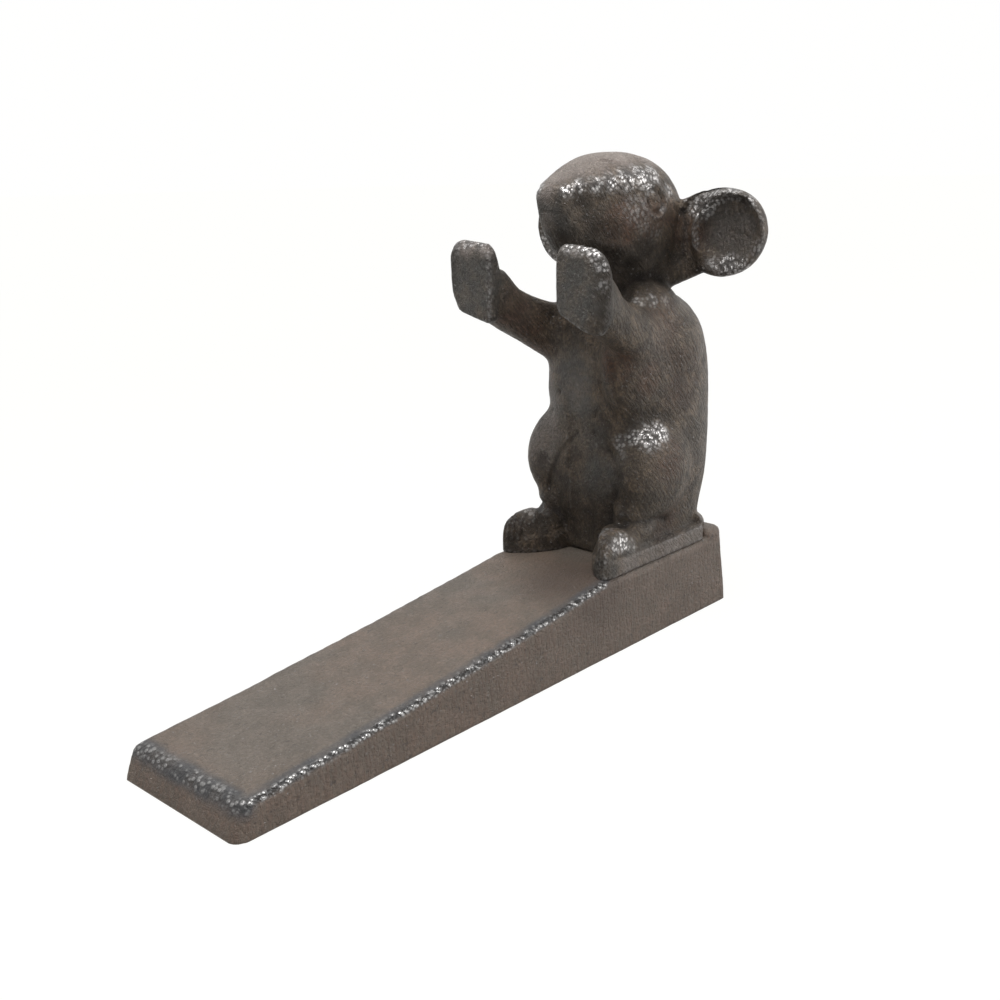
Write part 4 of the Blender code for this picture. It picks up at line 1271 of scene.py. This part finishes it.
def carve_details(points, normals):
    """The chest strip, ears, eyes, toes, and the grooves and ridges between the forms."""
    def only(chosen):
        return np.where(chosen, 1.0, 0.0)[:, None] * normals

    flatten_strip(points)
    dish_ears(points, normals)
    head = only(points[:, 2] > HEAD_ABOVE)
    for radius, width, depth in EYE_RINGS:
        rim = [
            (EYE_CENTRE[0] + radius * math.cos(a), EYE_CENTRE[1] + radius * math.sin(a))
            for a in spaced(0.0, 2 * math.pi, 16)]
        carve(points, head, rim, 1, (0, -1, 0), width, depth)
    body = only(points[:, 2] < BODY_BELOW)
    for path, width, depth, sides in FRONT_CREASES:
        carve(points, body, path, 0, (-1, 0, 0), width, depth, sides)
    toes = only((points[:, 0] < TOES_BEFORE) & (points[:, 2] < TOES_BELOW))
    for y in TOE_GROOVES:
        path = [(y, z) for z in TOE_HEIGHTS]
        carve(points, toes, path, 0, (-1, 0, 0.2), TOE_WIDTH, TOE_GROOVE_DEPTH)
    for path, width, depth, sides in CARVING:
        press(points, normals, path, width, depth, sides)


# Pale ground sides of the soles: their share, top, outside and front in millimetres, and
# how far in millimetres edges stand out and hollows lie back
SOLE_PALENESS = 0.55
SOLE_TOP = (24.4, 25.4)
SOLE_OUTSIDE = (17.6, 18.6)
SOLE_FRONT = (33.0, 37.0)
EDGE_SHARPNESS = (0.06, 0.22)
HOLLOW_SHARPNESS = (0.05, 0.22)

# Patches of the mouse's finish: place in millimetres, radius and share. The mirrored ones
# lie on both sides, and the thigh's are glossy too
MIRRORED = ("gloss", "dark", "red")
PATCHES = {
    "gloss": (
        (33, -4.6, 118.6, 2.6, 1.0), (36, -6.0, 119.6, 2.6, 0.9), (40, -8.0, 119.8, 2.8, 0.9),
        (44, -9.4, 120.2, 3.0, 1.0), (49, -10.8, 121.0, 4.0, 1.0), (54, -11.4, 121.4, 4.4, 1.0),
        (59, -11.3, 121.8, 3.6, 0.9), (55, -13.0, 118.7, 2.4, 0.9), (63.7, -13.5, 117.6, 2.4, 0.7),
        (50, -13.6, 113.5, 5.0, 0.35), (52, -14.0, 109.5, 3.4, 0.25), (57, -14.5, 107.0, 3.0, 0.2),
        (59.6, -14.5, 113.2, 1.4, 0.8), (56.6, -13.8, 118.2, 1.6, 0.8), (70.3, -19.5, 113.5, 4.4, 1.0),
        (70.0, -22.5, 116.4, 4.4, 1.0), (70.0, -28.0, 117.6, 3.8, 0.9), (70.0, -34.0, 115.0, 3.0, 0.7),
        (70.2, -27.5, 98.4, 4.2, 1.0), (70.2, -31.5, 99.0, 3.2, 0.8), (70.0, -23.5, 98.8, 2.6, 0.6),
        (70.0, -36.0, 103.0, 3.0, 0.6), (21.6, -14.5, 106.4, 2.6, 0.9), (22.0, -18.6, 106.0, 2.8, 1.0),
        (22.2, -21.8, 104.6, 2.4, 1.0), (22.4, -23.6, 102.0, 2.0, 0.8), (22.0, -24.2, 97.5, 1.8, 0.5),
        (48.0, -15.6, 90.6, 2.2, 0.5), (52.2, -16.4, 90.4, 2.4, 0.6), (57.0, -17.0, 90.0, 2.4, 0.3),
        (35.5, -17.2, 28.6, 3.0, 0.9), (39.0, -17.8, 28.8, 3.4, 1.0), (42.5, -18.6, 27.4, 2.4, 0.6),
        (37.0, -13.5, 31.0, 2.8, 0.5),
    ),
    "thigh": (
        (49.0, -18.6, 55.4, 4.8, 1.0), (52.6, -19.7, 56.2, 3.8, 1.0), (46.6, -16.0, 55.4, 3.0, 0.9),
        (44.6, -12.6, 53.6, 3.0, 0.6), (45.0, -14.0, 50.0, 2.6, 0.5),
    ),
    "grey": (
        (20.5, -17.0, 96.0, 13.0, 0.9), (20.5, 16.0, 96.0, 13.0, 0.9), (44, 2.0, 71.0, 8.0, 0.9),
        (44, 1.0, 64.0, 7.0, 0.9), (44, 9.0, 62.0, 8.0, 0.7), (44, -3.0, 54.0, 7.0, 0.5),
        (44, -7.0, 44.0, 8.0, 0.9), (45.5, 13.0, 52.0, 9.0, 0.7), (71.5, -28.6, 106.5, 11.0, 0.9),
        (71.5, 28.6, 106.5, 11.0, 0.9), (40, -1.0, 124.0, 9.0, 0.5), (33, -16.5, 23.4, 5.0, 0.8),
        (31.5, 0.0, 112.0, 8.0, 0.7), (50, -19.4, 22.6, 5.0, 0.8), (60, -19.4, 22.6, 6.0, 0.8),
        (70, -19.4, 22.6, 6.0, 0.8), (41, -19.4, 22.6, 5.0, 0.8), (76, -15, 60.0, 12.0, 0.4),
    ),
    # Dark: painted shade under the head and ears, on the neck, cheek and muzzle's front, the near hand's
    # outer side,
    # under the arm, down the near flank, between the legs and over the feet and haunch
    "dark": (
        (52, -10, 95.5, 9.0, 1.0), (44, -8, 99.0, 9.0, 1.0), (60, -12, 95.0, 7.0, 1.0),
        (41, -6, 103.5, 6.0, 0.8), (32, -1, 111.0, 8.0, 0.35), (34, -3, 105.5, 6.0, 0.7),
        (42, -9.5, 108.0, 6.0, 0.7), (40, -8.5, 113.5, 5.0, 0.45), (54, -13, 102.5, 6.0, 0.7),
        (60, -20, 68.0, 11.0, 0.35), (64, -19, 86.0, 9.0, 0.2), (57, -20, 46.0, 8.0, 0.3),
        (66, -15, 102.0, 6.0, 0.6), (70, -18, 98.0, 4.0, 0.9), (23.5, -26.2, 101.5, 6.0, 1.0),
        (23.5, -26.4, 96.0, 6.2, 1.0), (24.0, -25.6, 90.0, 5.6, 0.8), (33, -16.5, 23.4, 4.0, 0.7),
        (55, -16, 28.6, 9.0, 0.3), (44, -8, 38.0, 9.0, 0.4), (45, -9, 31.0, 7.0, 0.6),
        (43, 6, 31.0, 10.0, 0.5), (44, -13.5, 46.0, 3.0, 0.7), (50, -17.5, 60.8, 4.5, 0.4),
        (47, -9.5, 80.5, 4.0, 0.5),
    ),
    "red": (
        (46, -12.5, 110.0, 8.0, 0.9), (54, -14.0, 111.0, 7.0, 0.8), (62, -14.5, 112.0, 6.0, 0.5),
        (68.6, -17.2, 106.6, 6.0, 0.9), (31.7, -13.0, 88.2, 8.0, 0.7), (37.5, -13.0, 84.0, 7.0, 0.6),
        (40.5, -14.5, 76.0, 7.0, 0.7), (49.2, -18.9, 71.0, 6.0, 0.6), (55, -19, 84.0, 9.0, 0.5),
        (62, -20, 70.0, 11.0, 0.5), (54, -20, 48.0, 8.0, 0.8), (60, -19, 28.0, 9.0, 0.5),
    ),
    # Pale: mostly painted light, as sheen on the crown and muzzle and highlights on the palm tops,
    # and lightening where shade falls on the ear's dish, under the shoulder, on the far arm and the back;
    # on the chest strip it is the paint's own paler tone
    "pale": (
        (43, -2, 125.0, 9.5, 1.0), (52, -3, 126.4, 9.5, 1.0), (62, -3, 126.0, 9.0, 0.9),
        (37, 1, 122.6, 6.5, 1.0), (32.4, 1, 118.5, 4.0, 0.8), (31.4, 1, 111.0, 3.5, 0.3),
        (21.6, -17.0, 106.0, 3.0, 0.6), (21.6, 18.5, 105.4, 4.0, 1.0), (21.8, 12.5, 104.8, 3.0, 0.8),
        (24.6, -24.4, 99.5, 3.0, 0.5), (44.8, 12.1, 54.5, 6.5, 0.5), (46.0, 15.0, 49.0, 8.0, 0.5),
        (45.5, 11.0, 62.5, 5.0, 0.3), (71.5, -28.6, 106.5, 10.0, 0.25), (48, -19.5, 78.0, 7.0, 0.18),
        (33, 14, 88.0, 9.0, 0.14), (77, -14, 62.0, 14.0, 0.14), (72, -17, 44.0, 11.0, 0.14),
        (44, 2.0, 66.0, 6.0, 0.2),
    ),
}


def patches(points, spots, mirrored):
    """How far each point lies inside any of the patches."""
    result = np.zeros(len(points))
    for *centre, radius, share in spots:
        away = np.linalg.norm(points - centre, axis=1)
        if mirrored:
            away = np.minimum(away, np.linalg.norm(points * (1, -1, 1) - centre, axis=1))
        result = np.maximum(result, share * fade(away, 0.35 * radius, 1.15 * radius))
    return result


def mark_mouse(mesh):
    """Where the mouse's finish is glossy, reddish or pale, where shade is painted on it, and where its edges
    are; much of the pale is painted light.
    """
    points, _ = mesh_points(mesh)
    sharp = sharpness(mesh)
    marks = {name: patches(points, spots, name in MIRRORED) for name, spots in PATCHES.items()}
    marks["gloss"] = np.maximum(marks["gloss"], marks.pop("thigh"))
    sole = fade(points[:, 2], *SOLE_TOP) * ease(np.abs(points[:, 1]), *SOLE_OUTSIDE)
    sole *= SOLE_PALENESS * ease(points[:, 0], *SOLE_FRONT)
    marks["pale"] = np.maximum(marks["pale"], sole)
    marks["edge"] = ease(sharp, *EDGE_SHARPNESS)
    # Hollows, which the finish darkens as painted shade
    marks["hollow"] = ease(-sharp, *HOLLOW_SHARPNESS)
    for name, values in marks.items():
        store(mesh, name, values)


# Noises of the finishes: size in millimetres, detail, roughness, and the levels that
# become 0 and 1
GRAIN = (0.8, 3.0, 0.65, 0.34, 0.66)
FINE_GRAIN = (0.35, 2.0, 0.6, 0.34, 0.66)
WEDGE_BROAD = (26.0, 3.0, 0.55, 0.38, 0.62)
WEDGE_CLOUD = (6.0, 4.0, 0.6, 0.36, 0.64)
WEDGE_STREAK = (1.0, 3.0, 0.6, 0.36, 0.66)
WEDGE_DASHES = (1.5, 3.0, 0.6, 0.62, 0.70)
WEDGE_DOTS = (0.55, 1.0, 0.5, 0.70, 0.75)
MOUSE_BROAD = (15.0, 3.0, 0.55, 0.38, 0.62)
MOUSE_CLOUD = (4.5, 4.0, 0.6, 0.36, 0.64)
MOUSE_HAIRS = (0.62, 3.0, 0.6, 0.38, 0.62)
MOUSE_DOTS = (0.55, 1.0, 0.5, 0.69, 0.74)

# Beads of the lacquer: size in millimetres and smoothness, then the levels between which
# the gaps begin; and the lean of the mouse's fur, and the mouse's shadow painted on the platform before its
# feet
WEDGE_BEADS = (1.15, 0.25)
WEDGE_BEAD_GAP = (0.28, 0.52)
MOUSE_BEADS = (1.05, 0.22)
MOUSE_BEAD_GAP = (0.32, 0.60)
FUR_LEAN = math.radians(42)
PAINTED_SHADOW = ((27.0, -11.0, 20.2), 21.0, 0.75)

# Colours of the finishes; where there are two, the base is mottled between them
ZINC_BRIGHT = (0.50, 0.49, 0.45)
ZINC_DULL = (0.36, 0.35, 0.33)
WEDGE_BROWN = ((0.222, 0.162, 0.122), (0.188, 0.146, 0.113))
# Grey of the lacquer's own tone, and a painted sheen on the faces that look up
WEDGE_GREY_AND_SHEEN = ((0.184, 0.157, 0.128), (0.157, 0.137, 0.113))
WEDGE_RUST = (0.177, 0.104, 0.073)
# Painted shadow and reflection of the mouse on the platform: a darker, redder brown
WEDGE_MOUSE_SHADOW = (0.094, 0.059, 0.042)
WEDGE_GRAIN = (0.097, 0.076, 0.061)
WEDGE_DASH = (0.062, 0.050, 0.043)
WEDGE_BAND = (0.059, 0.063, 0.071)
WEDGE_GAP = (0.020, 0.019, 0.019)
WEDGE_GLINT = (0.50, 0.49, 0.48)
MOUSE_BROWN = ((0.245, 0.180, 0.124), (0.088, 0.067, 0.049))
MOUSE_WORN = (0.168, 0.141, 0.112)
MOUSE_RUST = (0.215, 0.108, 0.064)
MOUSE_GREY = (0.146, 0.144, 0.134)
# Pale tone of the paint, and painted light where the pale patches stand for sheen and highlights
MOUSE_PALE_AND_LIT = (0.460, 0.390, 0.350)
# Painted shade
MOUSE_PAINTED_SHADE = (0.024, 0.019, 0.015)
MOUSE_FUR = (0.045, 0.036, 0.028)
MOUSE_GRAIN = (0.034, 0.028, 0.023)
MOUSE_EDGE = (0.050, 0.046, 0.045)
# Painted shade in hollows and creases
MOUSE_HOLLOW_SHADE = (0.020, 0.016, 0.014)
MOUSE_GAP = (0.040, 0.036, 0.034)
MOUSE_GLINT = (0.58, 0.56, 0.55)


def zinc_finish():
    zinc = Finish("zinc_plate")
    cloud = zinc.noise(1.6, 3.0)
    fine = zinc.noise(0.25, 2.0)
    dull = zinc.step(cloud, 0.35, 0.7)
    shade = zinc.mottled(dull, (ZINC_BRIGHT, ZINC_DULL))
    return zinc.set(
        Base_Color=shade, Metallic=1.0, Roughness=0.28 + cloud * 0.3,
        Normal=zinc.bump(fine, 0.02, 0.5))


def make_washer(finish):
    top = BOSS_FACE_HEIGHT - SEAT_GAP
    bottom = top - WASHER_THICKNESS
    inner = SCREW_DIAMETER / 2 + HOLE_CLEARANCE
    outer = WASHER_DIAMETER / 2
    r = 0.15 * WASHER_THICKNESS
    outline = [
        (outer - r, bottom), (outer, bottom + r), (outer, top - r), (outer - r, top),
        (inner + r, top), (inner, top - r), (inner, bottom + r), (inner + r, bottom), (outer - r, bottom)]
    bm = revolve(outline, SCREW_X)
    bmesh.ops.remove_doubles(bm, verts=bm.verts, dist=0.01 * MM)
    washer = add_object("flat_washer", bm)
    washer.data.materials.append(finish)
    washer.data.shade_smooth()
    washer.data.set_sharp_from_angle(angle=math.radians(50))
    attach(washer, "root")
    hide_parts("washer")


def make_screw(finish):
    shank = SCREW_DIAMETER / 2
    head = SCREW_HEAD_DIAMETER / 2
    low = SCREW_SEAT - SCREW_HEAD_HEIGHT
    tip = SCREW_SEAT + SCREW_LENGTH
    chamfer = 0.2 * SCREW_DIAMETER
    outline = [(0.0, low)]
    for angle in spaced(0.0, math.pi / 2, DOME_STEPS):
        radius = head * (SCREW_FLAT_SHARE + (1 - SCREW_FLAT_SHARE) * math.sin(angle))
        outline.append((radius, low + SCREW_DOME_SHARE * SCREW_HEAD_HEIGHT * (1 - math.cos(angle))))
    outline += [(head, SCREW_SEAT), (shank, SCREW_SEAT), (shank, tip - chamfer)]
    outline += [(shank - chamfer, tip), (0.0, tip)]
    screw = add_object("slotted_screw", revolve(outline, SCREW_X))
    cutter = add_object("slot", block(
        (SCREW_X - head, -SLOT_WIDTH / 2, low - SLOT_DEPTH),
        (SCREW_X + head, SLOT_WIDTH / 2, low + SLOT_DEPTH)))
    boolean(screw, cutter, "DIFFERENCE")
    apply_modifiers(screw)
    drop(cutter)
    screw.data.materials.clear()
    screw.data.materials.append(finish)
    screw.data.shade_smooth()
    screw.data.set_sharp_from_angle(angle=math.radians(40))
    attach(screw, "root")
    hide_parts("screw")


def wedge_finish():
    """Brown lacquered iron: matte on top with a painted grey sheen, streaked at the sides, dark and beaded
    along the edges.
    """
    iron = Finish("wedge_brown_iron")
    beaded = iron.attribute("beaded")
    band = iron.attribute("band")
    facing_up = iron.attribute("facing_up")
    broad = iron.spots(*WEDGE_BROAD)
    cloud = iron.spots(*WEDGE_CLOUD)
    grain = iron.spots(*GRAIN)
    fine = iron.spots(*FINE_GRAIN)
    streak = iron.spots(*WEDGE_STREAK, iron.stretched((1.0, 1.0, 0.2)))
    dashes = iron.spots(*WEDGE_DASHES, iron.stretched((0.8, 1.6, 1.0)))
    dots = iron.spots(*WEDGE_DOTS)
    painted_shadow = iron.near_point(*PAINTED_SHADOW)
    pebble = iron.beads(*WEDGE_BEADS)
    between = iron.step(pebble, *WEDGE_BEAD_GAP)
    glint = iron.larger(beaded * (1.0 - between) * 0.8, dots * 0.6)

    brown = iron.mottled(cloud, WEDGE_BROWN)
    grey = iron.mottled(cloud, WEDGE_GREY_AND_SHEEN)
    base = iron.layers(
        # faces that look up take more grey: a painted sheen of the white backdrop on the top
        iron.blend(broad * (0.25 + facing_up * 0.5), brown, grey),
        ((1.0 - facing_up) * streak * 0.47, WEDGE_RUST),
        # painted shadow and reflection of the mouse on the platform before its feet
        (painted_shadow * 0.75, WEDGE_MOUSE_SHADOW),
        (grain * 0.42, WEDGE_GRAIN),
        (dashes * 0.6, WEDGE_DASH),
        (band * (0.55 + cloud * 0.35), WEDGE_BAND),
        (beaded * 0.85, WEDGE_GAP),
        (glint, WEDGE_GLINT))
    rough = iron.step(cloud, 0.0, 1.0, 0.48, 0.58) - iron.larger(beaded, dots) * 0.32
    matte = 1.0 - beaded * 0.9
    skin = iron.bump(grain * matte, 0.20)
    skin = iron.bump(fine * matte, 0.05, 1.0, skin)
    skin = iron.bump(streak * (1.0 - facing_up), 0.14, 1.0, skin)
    skin = iron.bump((1.0 - pebble) * (0.2 + beaded * 0.8), 0.36, 1.0, skin)
    return iron.set(Base_Color=base, Metallic=glint, Roughness=rough, Normal=skin, IOR=1.6)


def mouse_finish():
    """Dark lacquered iron: brushed fur, reddish areas, painted shade and light in patches and hollows, and
    beaded glossy patches.
    """
    iron = Finish("mouse_dark_iron")
    edge, gloss, pale, dark, red, grey, hollow = (
        iron.attribute(name) for name in ("edge", "gloss", "pale", "dark", "red", "grey", "hollow"))
    broad = iron.spots(*MOUSE_BROAD)
    cloud = iron.spots(*MOUSE_CLOUD)
    grain = iron.spots(*GRAIN)
    fine = iron.spots(*FINE_GRAIN)
    turned = iron.node("ShaderNodeVectorRotate", {"rotation_type": "Y_AXIS"}, {
        0: iron.place, "Angle": FUR_LEAN})
    fur = iron.spots(*MOUSE_HAIRS, iron.stretched((1.0, 1.0, 0.18), turned))
    dots = iron.spots(*MOUSE_DOTS)
    pebble = iron.beads(*MOUSE_BEADS)
    between = iron.step(pebble, *MOUSE_BEAD_GAP)
    shine = iron.larger(gloss, edge * 0.4)
    glint = iron.larger(shine * (1.0 - between * 0.9), dots * 0.6)

    base = iron.layers(
        iron.mottled(cloud, MOUSE_BROWN),
        (broad * 0.5, MOUSE_WORN),
        (red * (0.35 + cloud * 0.5), MOUSE_RUST),
        (grey * (0.6 + cloud * 0.3), MOUSE_GREY),
        # pale paint, and painted light on the crown, muzzle and palm tops and in shaded places
        (pale * (0.65 + cloud * 0.35), MOUSE_PALE_AND_LIT),
        # painted shade under the head, on the neck and in the other shaded places
        (dark * (0.75 + cloud * 0.15), MOUSE_PAINTED_SHADE),
        (fur * (0.55 - iron.larger(pale, grey) * 0.35), MOUSE_FUR),
        (grain * (0.40 - pale * 0.25), MOUSE_GRAIN),
        (edge * 0.3, MOUSE_EDGE),
        # painted shade in hollows and creases
        (hollow * 0.7, MOUSE_HOLLOW_SHADE),
        (shine * between * 0.8, MOUSE_GAP),
        (glint, MOUSE_GLINT))
    rough = iron.step(cloud, 0.0, 1.0, 0.42, 0.50) - iron.larger(shine, dots) * 0.24
    matte = 1.0 - shine * 0.9
    skin = iron.bump(grain * matte, 0.22)
    skin = iron.bump(fine * matte, 0.05, 1.0, skin)
    skin = iron.bump(fur * matte, 0.22, 1.0, skin)
    skin = iron.bump((1.0 - pebble) * (0.16 + shine * 0.84), 0.31, 1.0, skin)
    # metal rises in the painted shade too, where the dark base then dulls the sheen
    metal = iron.larger(0.3, iron.larger(glint, dark * 0.7))
    return iron.set(Base_Color=base, Metallic=metal, Roughness=rough, Normal=skin, IOR=1.55)


def main():
    place_camera()
    make_stage()
    light_studio()
    bpy.context.scene.view_settings.view_transform = "Standard"
    group = cast_skin()
    make_wedge(group)
    make_mouse(group)
    zinc = zinc_finish()
    make_washer(zinc)
    make_screw(zinc)
    bpy.context.view_layer.update()


main()
